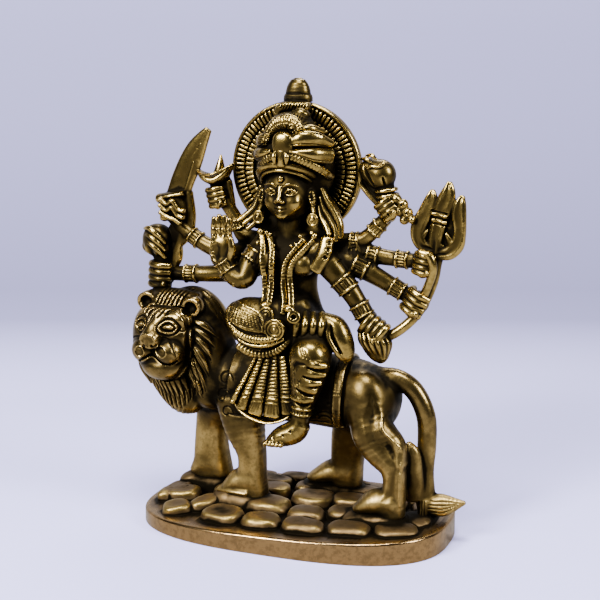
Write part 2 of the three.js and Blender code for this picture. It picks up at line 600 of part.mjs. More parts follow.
// Two long garlands, a collar with a pendant, and the three bosses of the belt clasp.
function jewellery() {
  const garland = (x0, x1, x2) =>
    limb(goddess, [[x0, -5, 134, 1.8], [x1, -11.4, 122, 2], [x2, -11.4, 104, 2.2]],
      { sides: 4, rolls: 5, groove: 0.3 });
  return [
    garland(-12.6, -9, -10.4),
    garland(4, 0, 0.8),
    limb(goddess, [[-13, -4, 134.5, 1.6], [-4.2, -10, 127.4, 2.4], [5, -4, 134.5, 1.6]],
      { sides: 4, rings: 2 }),
    boss([-8.4, -17.6, 99.6], 3.6, 5),
    boss([3.2, -15, 99.8], 3.6, 6),
    boss([-3.2, -18, 93.8], 5.8, 6),
  ];
}

function goddessSolid(ridden) {
  const whole = joined(
    goddessBody(), goddessHead(), goddessCrown(), goddessLappets(), halo(),
    rightArms(), sabre(), mace(), bowl(), leftArms(), conch(), trident(), bow(), lotus(),
    foldedLeg(), hangingLeg(), pleatedPanel(), hipSash(), jewellery(),
  );
  return tidied(mainBody(tidied(whole).subtract(ridden)));
}

// Plinth
const OVAL_POWER = 2.7; // fuller than an ellipse
const FORE_TOE = lion.point(PAWS.farFore.x - PAWS.farFore.reach, 0, 0).x;
const HIND_HEEL = lion.point(PAWS.nearHind.x + 6, 0, 0).x;
const FAR_SIDE = lion.point(0, PAWS.farHind.y + 7, 0).y;
const PLINTH_HALF_LENGTH = Math.max(-FORE_TOE, HIND_HEEL) + PLINTH_END_MARGIN;
const PLINTH_HALF_WIDTH = FAR_SIDE + PLINTH_SIDE_MARGIN;

function ovalPoint(angle, inset) {
  const full = (v) => Math.sign(v) * Math.abs(v) ** (2 / OVAL_POWER);
  return new THREE.Vector2(
    (PLINTH_HALF_LENGTH - inset) * full(Math.cos(angle)),
    (PLINTH_HALF_WIDTH - inset) * full(Math.sin(angle)),
  );
}

// Plate and stones are joined level, so that they meet in one plane, and then sloped from head to tail.
const slope = (x) => ((x / PLINTH_HALF_LENGTH) * (PLINTH_TAIL_THICKNESS - PLINTH_HEAD_THICKNESS)) / 2;

function sloped(solid) {
  const mesh = solid.getMesh();
  const points = pointsOf(mesh);
  points.filter((p) => p.z > PLATE_THICKNESS / 2).forEach((p) => p.setZ(p.z + slope(p.x)));
  return solidFrom(points, trianglesOf(mesh));
}

function plinthPlate() {
  const outline = range(36).map((i) => ovalPoint((Math.PI * i) / 18, PLINTH_EDGE_ROUND));
  const plate = new THREE.ExtrudeGeometry(new THREE.Shape(outline), {
    depth: PLATE_THICKNESS - 2 * PLINTH_EDGE_ROUND,
    bevelSegments: 1,
    bevelSize: PLINTH_EDGE_ROUND,
    bevelThickness: PLINTH_EDGE_ROUND,
  });
  const points = plate.attributes.position;
  for (let i = 0; i < points.count; i++) {
    const level = points.getZ(i) + PLINTH_EDGE_ROUND;
    points.setZ(i, PLATE_THICKNESS - level < 0.01 ? PLATE_THICKNESS : level);
  }
  return solidOf(plate);
}

// One stone: a low flat-topped dome with an uneven outline, turned to follow its row.
function stone(x, y, [length, width, height], turn, seed) {
  const dome = new THREE.CylinderGeometry(0.8, 1, 1, 6).rotateX(Math.PI / 2);
  const points = dome.attributes.position;
  for (let i = 0; i < points.count; i++) {
    const [px, py] = [points.getX(i), points.getY(i)];
    const angle = Math.atan2(py, px);
    const uneven = 1 + 0.08 * Math.sin(3 * angle + seed) + 0.06 * Math.sin(2 * angle + 2.3 * seed);
    const crown = Math.hypot(px, py) < 0.5 ? 0.12 : 0;
    points.setXYZ(i, px * uneven, py * uneven, points.getZ(i) > 0 ? 1 + crown : 0);
  }
  dome.scale(length, width, height).rotateZ(turn).translate(x, y, 0);
  for (let i = 0; i < points.count; i++) points.setZ(i, points.getZ(i) + PLATE_THICKNESS);
  return solidOf(dome);
}

// A broad stone under each paw reaches up to hold it.
const PAW_STONES = Object.values(PAWS).map(({ x, y, reach }) => {
  const middle = lion.point(x - reach * 0.4, y, 0);
  const height = PAW_LEVEL + PAW_SEAT - PLATE_THICKNESS - slope(middle.x);
  return { x: middle.x, y: middle.y, size: [(reach * 0.6 + 6) * lion.scale, 8.4 * lion.scale, height] };
});

// Rows of stones follow the oval inwards, the outermost row lower than the rest.
function stones() {
  const rows = Math.floor((PLINTH_HALF_WIDTH - STONE_RIM) / STONE_ROW_DEPTH);
  const clear = (at) =>
    PAW_STONES.every(({ x, y, size: [a, b] }) => Math.hypot((at.x - x) / (a + 4), (at.y - y) / (b + 3)) > 1);
  const laid = range(rows).map((row) => {
    const inset = STONE_RIM + STONE_ROW_DEPTH * (row + 0.5);
    const track = new THREE.CatmullRomCurve3(
      range(32).map((i) => ovalPoint((Math.PI * i) / 16, inset)).map((p) => new THREE.Vector3(p.x, p.y, 0)),
      true,
    );
    const count = Math.round(track.getLength() / STONE_LENGTH);
    const shares = range(count).map((i) => (i + 0.5 * (row % 2)) / count);
    return shares.filter((share) => clear(track.getPointAt(share))).map((share) => {
      const at = track.getPointAt(share);
      const along = track.getTangentAt(share);
      const seed = 40 * share + 2.9 * row;
      const height = STONE_HEIGHT * (row === 0 ? 0.7 : 0.94) * (1 + 0.06 * Math.sin(5 * seed));
      const size = [STONE_LENGTH * (0.49 + 0.02 * Math.sin(3 * seed)), STONE_ROW_DEPTH * 0.49, height];
      return stone(at.x, at.y, size, Math.atan2(along.y, along.x), seed);
    });
  });
  return [laid, PAW_STONES.map(({ x, y, size }, i) => stone(x, y, size, 0, i))];
}

function plinthSolid(standing) {
  const level = joined(plinthPlate(), stones());
  return tidied(mainBody(sloped(level).subtract(standing)));
}

// Castings
function casting(name, solid, color, roughness) {
  const mesh = solid.getMesh();
  const geometry = new THREE.BufferGeometry();
  geometry.setAttribute("position", new THREE.BufferAttribute(new Float32Array(mesh.vertProperties), 3));
  geometry.setIndex(new THREE.BufferAttribute(new Uint32Array(mesh.triVerts), 1));
  geometry.computeVertexNormals();
  const part = new THREE.Mesh(geometry, new THREE.MeshStandardMaterial({ color, roughness, metalness: 1 }));
  part.name = name;
  return part;
}

const lionWithGap = lionSolid(JOINT_GAP);
const group = new THREE.Group();
group.name = "durga_on_lion";
group.add(
  casting("plinth", plinthSolid(lionWithGap), 0xa88350, 0.42),
  casting("lion", lionSolid(0), 0x8d7440, 0.36),
  casting("durga", goddessSolid(lionWithGap), 0x9a8048, 0.34),
);
export default group;
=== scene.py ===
# %% [markdown]
# # A brass goddess riding her lion
# The figure is cast in brass from a wax model: a caster builds the body from rolls of wax, presses on
# pellets and threads of wax for jewellery, and scratches lines with a needle. The same three ways of
# working are used here. Rolls and lumps are added to a block of clay, pellets are laid out by Geometry
# Nodes, and lines are pressed in.

# %% Load the frame
import time
from math import atan2, cos, pi, radians, sin, sqrt

import bpy
import numpy as np
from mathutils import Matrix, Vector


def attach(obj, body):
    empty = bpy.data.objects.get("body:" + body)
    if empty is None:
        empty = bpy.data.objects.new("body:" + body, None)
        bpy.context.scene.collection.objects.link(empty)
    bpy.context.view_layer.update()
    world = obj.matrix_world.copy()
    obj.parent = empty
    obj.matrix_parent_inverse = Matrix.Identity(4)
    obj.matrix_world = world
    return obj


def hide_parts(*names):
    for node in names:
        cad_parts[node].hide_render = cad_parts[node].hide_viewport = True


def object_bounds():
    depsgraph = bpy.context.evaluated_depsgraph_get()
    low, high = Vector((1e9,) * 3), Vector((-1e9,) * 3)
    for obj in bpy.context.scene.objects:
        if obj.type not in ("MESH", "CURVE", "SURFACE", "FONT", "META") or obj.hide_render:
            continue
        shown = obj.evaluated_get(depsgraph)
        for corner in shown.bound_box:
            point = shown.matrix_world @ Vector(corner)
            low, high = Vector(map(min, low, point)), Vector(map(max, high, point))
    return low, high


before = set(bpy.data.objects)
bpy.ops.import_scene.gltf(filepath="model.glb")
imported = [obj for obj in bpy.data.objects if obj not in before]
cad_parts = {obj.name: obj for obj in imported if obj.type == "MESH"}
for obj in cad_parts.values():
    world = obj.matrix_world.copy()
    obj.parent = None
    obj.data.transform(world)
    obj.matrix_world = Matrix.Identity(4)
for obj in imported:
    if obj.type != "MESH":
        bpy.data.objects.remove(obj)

import openvdb
from mathutils import Vector

CAD_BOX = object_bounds()
STARTED = time.time()

# Places below are millimetres on a figure of this height, so they follow the frame if its size changes.
FIGURE_HEIGHT = 200.0
METRES = CAD_BOX[1].z / FIGURE_HEIGHT
print("one modelled millimetre is", round(METRES * 1000, 4), "mm")

# %% [markdown]
# ## The camera
# The photograph looks at the figure from a little to its right and from just above it, with a long lens, so
# that the plinth's oval is only slightly wider in front than behind. The lens and the shift frame it as in
# the photograph.

# %% Place the camera
AZIMUTH, ELEVATION = radians(21.0), radians(12.1)
DISTANCE = 600.0
AIM = Vector((0, 0, 100))
LENS_IN_PICTURES = 2.267  # focal length as a share of the picture's width
SENSOR = 36.0
SHIFT = (0.0032, 0.014)  # in picture widths, to the right and up

back = Vector((sin(AZIMUTH) * cos(ELEVATION), -cos(AZIMUTH) * cos(ELEVATION), sin(ELEVATION)))
camera = bpy.data.objects.new("camera", bpy.data.cameras.new("camera"))
bpy.context.scene.collection.objects.link(camera)
camera.location = (AIM + back * DISTANCE) * METRES
camera.rotation_euler = back.to_track_quat("Z", "Y").to_euler()
camera.data.sensor_width = SENSOR
camera.data.lens = SENSOR * LENS_IN_PICTURES
camera.data.shift_x, camera.data.shift_y = SHIFT
camera.data.clip_start = 0.01
bpy.context.scene.camera = camera

# %% [markdown]
# ## Clay
# A cast figure has no hard seams between its parts: an arm melts into a shoulder. Boxes and booleans can't
# do that, and sculpting by hand can't be repeated by a script. Signed distances can: every point of a grid
# stores how far it is from the surface, two forms are joined by the smaller of their distances, and a soft
# minimum gives the fillet.

# %% A block of clay
class Clay:
    """Signed distances on a grid, in millimetres: negative inside the form."""

    FAR = 3.0

    def __init__(self, low, high, cell):
        self.low = np.array(low, float)
        self.cell = cell
        self.count = np.ceil((np.array(high) - self.low) / cell).astype(int) + 1
        self.field = np.full(self.count, self.FAR, np.float32)

    def window(self, low, high):
        """The part of the grid between two corners, and the places of its points."""
        start = np.clip(np.floor((low - self.low) / self.cell).astype(int), 0, self.count)
        stop = np.clip(np.ceil((high - self.low) / self.cell).astype(int) + 1, start, self.count)
        part = tuple(slice(a, b) for a, b in zip(start, stop))
        axes = [(self.low[k] + self.cell * np.arange(start[k], stop[k])).astype(np.float32)
                for k in range(3)]
        return part, np.meshgrid(*axes, indexing="ij", sparse=True)

    def mass(self, forms, margin):
        """The distance to the nearest of several forms, in a window round them all."""
        low = np.min([form[0] for form in forms], axis=0) - margin
        high = np.max([form[1] for form in forms], axis=0) + margin
        whole, _ = self.window(low, high)
        nearest = np.full([s.stop - s.start for s in whole], self.FAR, np.float32)
        for form_low, form_high, distance in forms:
            part, places = self.window(form_low - margin, form_high + margin)
            if any(s.start >= s.stop for s in part):
                continue
            inner = tuple(slice(s.start - w.start, s.stop - w.start) for s, w in zip(part, whole))
            nearest[inner] = np.minimum(nearest[inner], distance(*places))
        return whole, nearest

    def add(self, forms, blend):
        """Presses forms on, with a fillet about as wide as blend."""
        part, nearest = self.mass(forms, blend + 1)
        self.field[part] = soft_min(self.field[part], nearest, blend)

    def cut(self, forms, blend):
        """Takes forms away, with a soft edge about as wide as blend."""
        part, nearest = self.mass(forms, blend + 1)
        self.field[part] = -soft_min(-self.field[part], nearest, blend)


def soft_min(a, b, blend):
    """The smaller of two distances, rounded where they are within blend of each other."""
    overlap = np.maximum(blend - np.abs(a - b), 0)
    return np.minimum(a, b) - overlap * overlap / (4 * blend)


# %% [markdown]
# ## Rolls and lumps
# A roll of clay follows a smooth curve through a few stations and changes its two radii on the way, so one
# function makes limbs, fingers, locks and folds. A lump is an egg shape. Squareness turns a round section
# into a boxy one, for legs that were ground flat after casting.

# %% Curves and rolls
def spline(points, steps):
    """Rows of numbers on a smooth curve through the given rows, with this many steps between them."""
    p = np.array(points, float)
    ends = np.vstack([2 * p[0] - p[1], p, 2 * p[-1] - p[-2]])
    t = np.linspace(0, 1, steps, endpoint=False)[:, None]
    spans = [
        0.5 * (2 * b + (c - a) * t + (2 * a - 5 * b + 4 * c - d) * t**2 + (3 * b - a - 3 * c + d) * t**3)
        for a, b, c, d in zip(ends, ends[1:], ends[2:], ends[3:])
    ]
    return np.vstack([*spans, p[-1:]])


def unit(v):
    v = np.array(v, float)
    return v / np.linalg.norm(v)


def egg_distance(u, v, w, radii, square):
    """About how far points are from an egg shape, from their places along its three axes."""
    a, b, c = radii
    if square != 2:
        near = (np.abs(u / a) ** square + np.abs(v / b) ** square + np.abs(w / c) ** square) ** (1 / square)
        return (near - 1) * np.minimum(a, b)
    near = np.sqrt((u / a) ** 2 + (v / b) ** 2 + (w / c) ** 2)
    steep = np.sqrt((u / a**2) ** 2 + (v / b**2) ** 2 + (w / c**2) ** 2) + 1e-6
    return near * (near - 1) / steep


def link(start, end, first, last, cap, square):
    """One straight stretch of a roll, with its radii across and in depth at both ends."""
    length = np.linalg.norm(end - start)
    along = (end - start) / length
    side = np.array([0, 1, 0]) if abs(along[1]) < 0.93 else np.array([0, 0, 1])
    depth = unit(side - along * along.dot(side))
    across = np.cross(along, depth)

    def distance(x, y, z):
        x, y, z = x - start[0], y - start[1], z - start[2]
        run = x * along[0] + y * along[1] + z * along[2]
        t = np.clip(run / length, 0, 1)
        a = first[0] + (last[0] - first[0]) * t
        b = first[1] + (last[1] - first[1]) * t
        u = x * across[0] + y * across[1] + z * across[2]
        v = x * depth[0] + y * depth[1] + z * depth[2]
        return egg_distance(u, v, run - t * length, (a, b, cap * np.minimum(a, b)), square)

    reach = max(*first, *last)
    return np.minimum(start, end) - reach, np.maximum(start, end) + reach, distance


def roll(stations, steps, cap=0.6, square=2):
    """A roll through stations [x, y, z, radius in the XZ plane, radius in depth]."""
    rows = spline([s if len(s) == 5 else (*s, s[3]) for s in stations], steps)
    rows[:, 3:] = np.maximum(rows[:, 3:], 0.15)
    return [link(p[:3], q[:3], p[3:], q[3:], cap, square) for p, q in zip(rows, rows[1:])]


def lump(centre, radii, turn=0, square=2):
    """An egg shape, turned by degrees in the front view."""
    centre = np.array(centre, float)
    c, s = cos(radians(turn)), sin(radians(turn))
    rows = np.array([[c, 0, s], [0, 1, 0], [-s, 0, c]])

    def distance(x, y, z):
        x, y, z = x - centre[0], y - centre[1], z - centre[2]
        u, v, w = (x * r[0] + y * r[1] + z * r[2] for r in rows)
        return egg_distance(u, v, w, radii, square)

    reach = max(radii) if turn else np.array(radii)
    return [(centre - reach, centre + reach, distance)]


def lumps(rows):
    """Several egg shapes: rows of (centre, radii) or (centre, radii, turn)."""
    return [form for row in rows for form in lump(*row)]


def ring(centre, wide, tall, size, count):
    """A thin roll round an oval in the front view, through this many stations."""
    x, y, z = centre
    return roll([[x + wide * cos(a), y, z + tall * sin(a), size] for a in np.linspace(0, 2 * pi, count)], 1)


# %% [markdown]
# ## Lines pressed in with a needle
# Hair, pleats and borders are only a few tenths of a millimetre deep, and nearly all of them are seen from
# the front. They are drawn as heights over the front view and then pressed into whatever faces the viewer
# there. That keeps a line sharp for little work, where a displacement texture would need the drawing as an
# image.

# %% A drawing in relief
class Relief:
    """Heights over the XZ plane, in millimetres. Raised strokes and sunk strokes are kept apart."""

    FAR = 9.0  # more than the distance to any stroke or edge that matters

    def __init__(self, clay):
        self.clay = clay
        self.raised = np.zeros((clay.count[0], clay.count[2]), np.float32)
        self.sunk = np.zeros_like(self.raised)

    def window(self, low, high):
        """The part of the drawing between two corners, and the places of its points."""
        clay = self.clay
        bottom, top = clay.low[[0, 2]], clay.count[[0, 2]]
        start = np.clip(np.floor((low - bottom) / clay.cell).astype(int), 0, top)
        stop = np.clip(np.ceil((high - bottom) / clay.cell).astype(int) + 1, start, top)
        x = bottom[0] + clay.cell * np.arange(start[0], stop[0])
        z = bottom[1] + clay.cell * np.arange(start[1], stop[1])
        return (slice(start[0], stop[0]), slice(start[1], stop[1])), x[:, None], z[None, :]

    def set(self, part, shape):
        """Draws a shape, which nowhere makes a raised stroke lower or a sunk one shallower."""
        if shape.size and shape.max() > 0:
            self.raised[part] = np.maximum(self.raised[part], shape)
        if shape.size and shape.min() < 0:
            self.sunk[part] = np.minimum(self.sunk[part], shape)

    def stroke(self, points, width, height, taper=0.0):
        """A round-bottomed line. Its half width shrinks by the taper towards both ends."""
        rows = spline(points, 4) if len(points) > 2 else np.array(points, float)
        part, x, z = self.window(rows.min(0) - width, rows.max(0) + width)
        near = np.full((x.size, z.size), self.FAR)
        total = len(rows) - 1
        for i, (p, q) in enumerate(zip(rows, rows[1:])):
            run = q - p
            t = np.clip(((x - p[0]) * run[0] + (z - p[1]) * run[1]) / max(run @ run, 1e-9), 0, 1)
            half = width * (1 - taper * np.abs(2 * (i + t) / total - 1) ** 2)
            near = np.minimum(near, np.hypot(x - p[0] - t * run[0], z - p[1] - t * run[1]) / half)
        self.set(part, height * np.maximum(1 - near * near, 0))

    def dot(self, centre, radius, height, hollow=0.0):
        """A round pellet, or a ring where a hollow share of its radius stays flat."""
        part, x, z = self.window(np.array(centre) - radius, np.array(centre) + radius)
        near = np.hypot(x - centre[0], z - centre[1]) / radius
        shape = np.sqrt(np.maximum(1 - near * near, 0))
        if hollow:
            middle = (1 + hollow) / 2
            shape = np.maximum(1 - ((near - middle) / (1 - middle)) ** 2, 0)
        self.set(part, height * shape)

    def area(self, outline, height, soft):
        """A flat raised or sunk area inside a closed outline, with soft edges."""
        corners = np.array(outline, float)
        part, x, z = self.window(corners.min(0), corners.max(0))
        inside = np.zeros((x.size, z.size), bool)
        edge = np.full(inside.shape, self.FAR)
        for p, q in zip(corners, np.roll(corners, -1, axis=0)):
            crosses = (p[1] > z) != (q[1] > z)
            inside ^= crosses & (x < (q[0] - p[0]) * (z - p[1]) / (q[1] - p[1] + 1e-9) + p[0])
            run = q - p
            t = np.clip(((x - p[0]) * run[0] + (z - p[1]) * run[1]) / max(run @ run, 1e-9), 0, 1)
            edge = np.minimum(edge, np.hypot(x - p[0] - t * run[0], z - p[1] - t * run[1]))
        self.set(part, height * np.where(inside, np.minimum(edge / soft, 1), 0))

    def press(self, front, back, facing=-1):
        """Moves surfaces between two depths that face the viewer, or face away, by the heights."""
        height = self.raised + self.sunk
        xs, zs = np.nonzero(height)
        if not len(xs):
            return
        clay = self.clay
        y0, y1 = (int(np.clip((y - clay.low[1]) / clay.cell, 0, clay.count[1])) for y in (front, back))
        part = (slice(xs.min(), xs.max() + 1), slice(y0, y1), slice(zs.min(), zs.max() + 1))
        steep = np.gradient(clay.field[part], axis=1) / clay.cell
        share = np.clip(1.7 * facing * steep, 0, 1)
        clay.field[part] -= height[part[0], None, part[2]] * share


# %% [markdown]
# ## Pellets laid out by Geometry Nodes
# Beads, ribs and stones repeat, so a caster rolls one pellet and presses it on many times. A Geometry Nodes
# tree does the laying out: it places a pellet at each point of a path or a set of places, and makes the
# copies real. The result is an ordinary mesh, which is then melted into the clay through a level set, like
# wax pressed on wax.

# %% Build and run a tree
class Nodes:
    """Adds nodes to a tree, with their sockets set or linked by name or by number."""

    def __init__(self, tree):
        self.tree = tree

    def set(self, socket, value):
        if isinstance(value, bpy.types.NodeSocket):
            self.tree.links.new(value, socket)
        else:
            socket.default_value = value

    def node(self, kind, values=None, **settings):
        node = self.tree.nodes.new(kind)
        for name, value in settings.items():
            setattr(node, name, value)
        for socket, value in (values or {}).items():
            self.set(node.inputs[socket], value)
        return node


class Tree(Nodes):
    """A Geometry Nodes tree with named inputs."""

    def __init__(self, name, **inputs):
        super().__init__(bpy.data.node_groups.new(name, "GeometryNodeTree"))
        self.tree.interface.new_socket("Geometry", in_out="INPUT", socket_type="NodeSocketGeometry")
        for label, kind in inputs.items():
            label = label.replace("_", " ").capitalize()
            self.tree.interface.new_socket(label, in_out="INPUT", socket_type="NodeSocket" + kind)
        self.tree.interface.new_socket("Geometry", in_out="OUTPUT", socket_type="NodeSocketGeometry")
        self.start = self.tree.nodes.new("NodeGroupInput")

    def input(self, label):
        return self.start.outputs[label]

    def pellet(self, size, boxy, level=2):
        """A cube that subdivision rounds, the less the boxier it is."""
        cube = self.node("GeometryNodeMeshCube", {"Size": size})
        sockets = {"Mesh": cube.outputs["Mesh"], "Level": level, "Edge Crease": boxy}
        return self.node("GeometryNodeSubdivisionSurface", sockets).outputs["Mesh"]

    def finish(self, geometry):
        """Makes the copies real and closes the tree."""
        real = self.node("GeometryNodeRealizeInstances", {"Geometry": geometry})
        coloured = self.node("GeometryNodeSetMaterial", {"Geometry": real.outputs[0], "Material": WAX})
        end = self.tree.nodes.new("NodeGroupOutput")
        self.tree.links.new(coloured.outputs[0], end.inputs[0])
        return self.tree


WAX = bpy.data.materials.new("wax")


def grown(tree, path, **inputs):
    """Runs a tree on a mesh or curve and gives back the points and triangles of the plain mesh."""
    modifier = path.modifiers.new(tree.name, "NODES")
    modifier.node_group = tree
    sockets = {s.name: s.identifier for s in tree.interface.items_tree if s.in_out == "INPUT"}
    for label, value in inputs.items():
        modifier[sockets[label.replace("_", " ").capitalize()]] = value
    depsgraph = bpy.context.evaluated_depsgraph_get()
    mesh = bpy.data.meshes.new_from_object(path.evaluated_get(depsgraph))
    mesh.calc_loop_triangles()
    points = np.zeros(len(mesh.vertices) * 3, np.float32)
    mesh.vertices.foreach_get("co", points)
    triangles = np.zeros(len(mesh.loop_triangles) * 3, np.int32)
    mesh.loop_triangles.foreach_get("vertices", triangles)
    path.modifiers.remove(modifier)
    bpy.data.objects.remove(path)
    bpy.data.meshes.remove(mesh)
    return points.reshape(-1, 3), triangles.reshape(-1, 3)


def path_object(points):
    """A smooth curve through points, in millimetres."""
    curve = bpy.data.curves.new("path", "CURVE")
    curve.dimensions = "3D"
    rows = spline(points, 6) if len(points) > 2 else np.array(points, float)
    line = curve.splines.new("POLY")
    line.points.add(len(rows) - 1)
    line.points.foreach_set("co", np.hstack([rows[:, :3], np.ones((len(rows), 1))]).ravel())
    path = bpy.data.objects.new("path", curve)
    bpy.context.scene.collection.objects.link(path)
    return path


def places_object(rows):
    """Loose points with a size and a turn each: rows of [x, y, z, sx, sy, sz, turn]."""
    rows = np.array(rows, float)
    mesh = bpy.data.meshes.new("places")
    mesh.from_pydata(rows[:, :3].tolist(), [], [])
    size = mesh.attributes.new("size", "FLOAT_VECTOR", "POINT")
    size.data.foreach_set("vector", rows[:, 3:6].ravel())
    turn = mesh.attributes.new("turn", "FLOAT", "POINT")
    turn.data.foreach_set("value", rows[:, 6])
    places = bpy.data.objects.new("places", mesh)
    bpy.context.scene.collection.objects.link(places)
    return places


def press_on(clay, pellets, blend):
    """Melts a closed mesh into the clay."""
    points, triangles = pellets
    reach = 5  # cells round the pellets that are filled with distances
    low = np.maximum(np.floor((points.min(0) - clay.low) / clay.cell) - reach, 0).astype(int)
    high = np.minimum(np.ceil((points.max(0) - clay.low) / clay.cell) + reach + 1, clay.count).astype(int)
    origin = clay.low + low * clay.cell
    grid = openvdb.FloatGrid.createLevelSetFromPolygons(
        (points - origin).astype(np.float64),
        triangles=triangles.astype(np.uint32),
        transform=openvdb.createLinearTransform(voxelSize=clay.cell),
        halfWidth=float(reach),
    )
    nearest = np.full(high - low, reach * clay.cell, np.float32)
    grid.copyToArray(nearest, ijk=(0, 0, 0))
    part = tuple(slice(a, b) for a, b in zip(low, high))
    clay.field[part] = soft_min(clay.field[part], nearest, blend)


# %% [markdown]
# Two trees cover the repeated pellets of the figure: beads that follow a path, and ribs that stand in a
# wheel. Their sizes are inputs, so one tree makes big and small ones. The plinth has a third, for its
# stones.

# %% Beads along a path
def bead_tree():
    tree = Tree("beads along a path", spacing="Float", bead_size="Vector", boxy="Float")
    pellet = tree.pellet(tree.input("Bead size"), tree.input("Boxy"))
    path = {"Curve": tree.input("Geometry"), "Length": tree.input("Spacing")}
    points = tree.node("GeometryNodeCurveToPoints", path, mode="LENGTH").outputs
    sockets = {"Points": points["Points"], "Instance": pellet, "Rotation": points["Rotation"]}
    return tree.finish(tree.node("GeometryNodeInstanceOnPoints", sockets).outputs[0])


BEADS = bead_tree()


def strand(clay, points, spacing, size, boxy, blend=0.2):
    """Beads at even spacing. Size is across the path, off the surface and along the path."""
    beads = grown(BEADS, path_object(points), spacing=float(spacing), bead_size=size, boxy=float(boxy))
    press_on(clay, beads, blend)


# %% Ribs in a wheel
def wheel_tree():
    tree = Tree("ribs in a wheel", ribs="Int", radius="Float", rib_size="Vector", boxy="Float")
    rib = tree.pellet(tree.input("Rib size"), tree.input("Boxy"))
    sockets = {"Vertices": tree.input("Ribs"), "Radius": tree.input("Radius")}
    circle = tree.node("GeometryNodeMeshCircle", sockets)
    share = tree.node("ShaderNodeMath", {0: 2 * pi, 1: tree.input("Ribs")}, operation="DIVIDE")
    index = tree.node("GeometryNodeInputIndex")
    angle = tree.node("ShaderNodeMath", {0: index.outputs[0], 1: share.outputs[0]}, operation="MULTIPLY")
    turn = tree.node("ShaderNodeCombineXYZ", {"Z": angle.outputs[0]})
    sockets = {"Points": circle.outputs["Mesh"], "Instance": rib, "Rotation": turn.outputs[0]}
    ribs = tree.node("GeometryNodeInstanceOnPoints", sockets)
    upright = tree.node("GeometryNodeTransform", {"Geometry": ribs.outputs[0], "Rotation": (pi / 2, 0, 0)})
    return tree.finish(upright.outputs[0])


WHEEL = wheel_tree()


def rib_wheel(clay, centre, ribs, radius, size, boxy, blend):
    """A ring of ribs in the XZ plane. Size is radial, round the ring, and in depth."""
    hub = places_object([[0, 0, 0, 1, 1, 1, 0]])
    points, triangles = grown(WHEEL, hub, ribs=ribs, radius=float(radius), rib_size=size, boxy=float(boxy))
    press_on(clay, (points + np.array(centre, np.float32), triangles), blend)


print("trees made:", [t.name for t in (BEADS, WHEEL)])

# %% [markdown]
# ## From clay to brass
# The zero surface of the distances is the casting. OpenVDB finds it, and a Decimate modifier spends the
# triangles where the surface bends. Two numbers are kept for each point: how much metal is close round it,
# which finds sharp hollows, and how much of the whole figure is round it, which finds deep places. The
# patina is painted by both.

# %% Mesh a block of clay
NEAR_CELLS = 3  # how many cells away metal still counts as close
CRUMB = 0.002  # a body with a smaller share of the triangles than this is dropped
COARSE = 1.0  # cell of the grid that takes in the whole figure
crowd_low = np.array([-84.0, -50.0, -8.0])
crowd = np.zeros((172, 100, 218), np.float32)
castings = []


def box_blur(grid, reach):
    """The mean of a cube of points round each point."""
    for axis in range(3):
        padding = [(0, 0)] * 3
        padding[axis] = (reach + 1, reach)
        total = np.cumsum(np.pad(grid, padding, mode="edge"), axis=axis, dtype=np.float32)
        count = grid.shape[axis]
        upper = np.take(total, np.arange(2 * reach + 1, 2 * reach + 1 + count), axis=axis)
        grid = (upper - np.take(total, np.arange(count), axis=axis)) / (2 * reach + 1)
    return grid


def sample(grid, places):
    """Trilinear values at fractional grid places."""
    base = np.clip(np.floor(places).astype(int), 0, np.array(grid.shape) - 2)
    t = (places - base).astype(np.float32)
    value = np.zeros(len(places), np.float32)
    for corner in np.ndindex(2, 2, 2):
        weight = np.prod(np.where(corner, t, 1 - t), axis=1)
        i, j, k = (base + corner).T
        value += weight * grid[i, j, k]
    return value


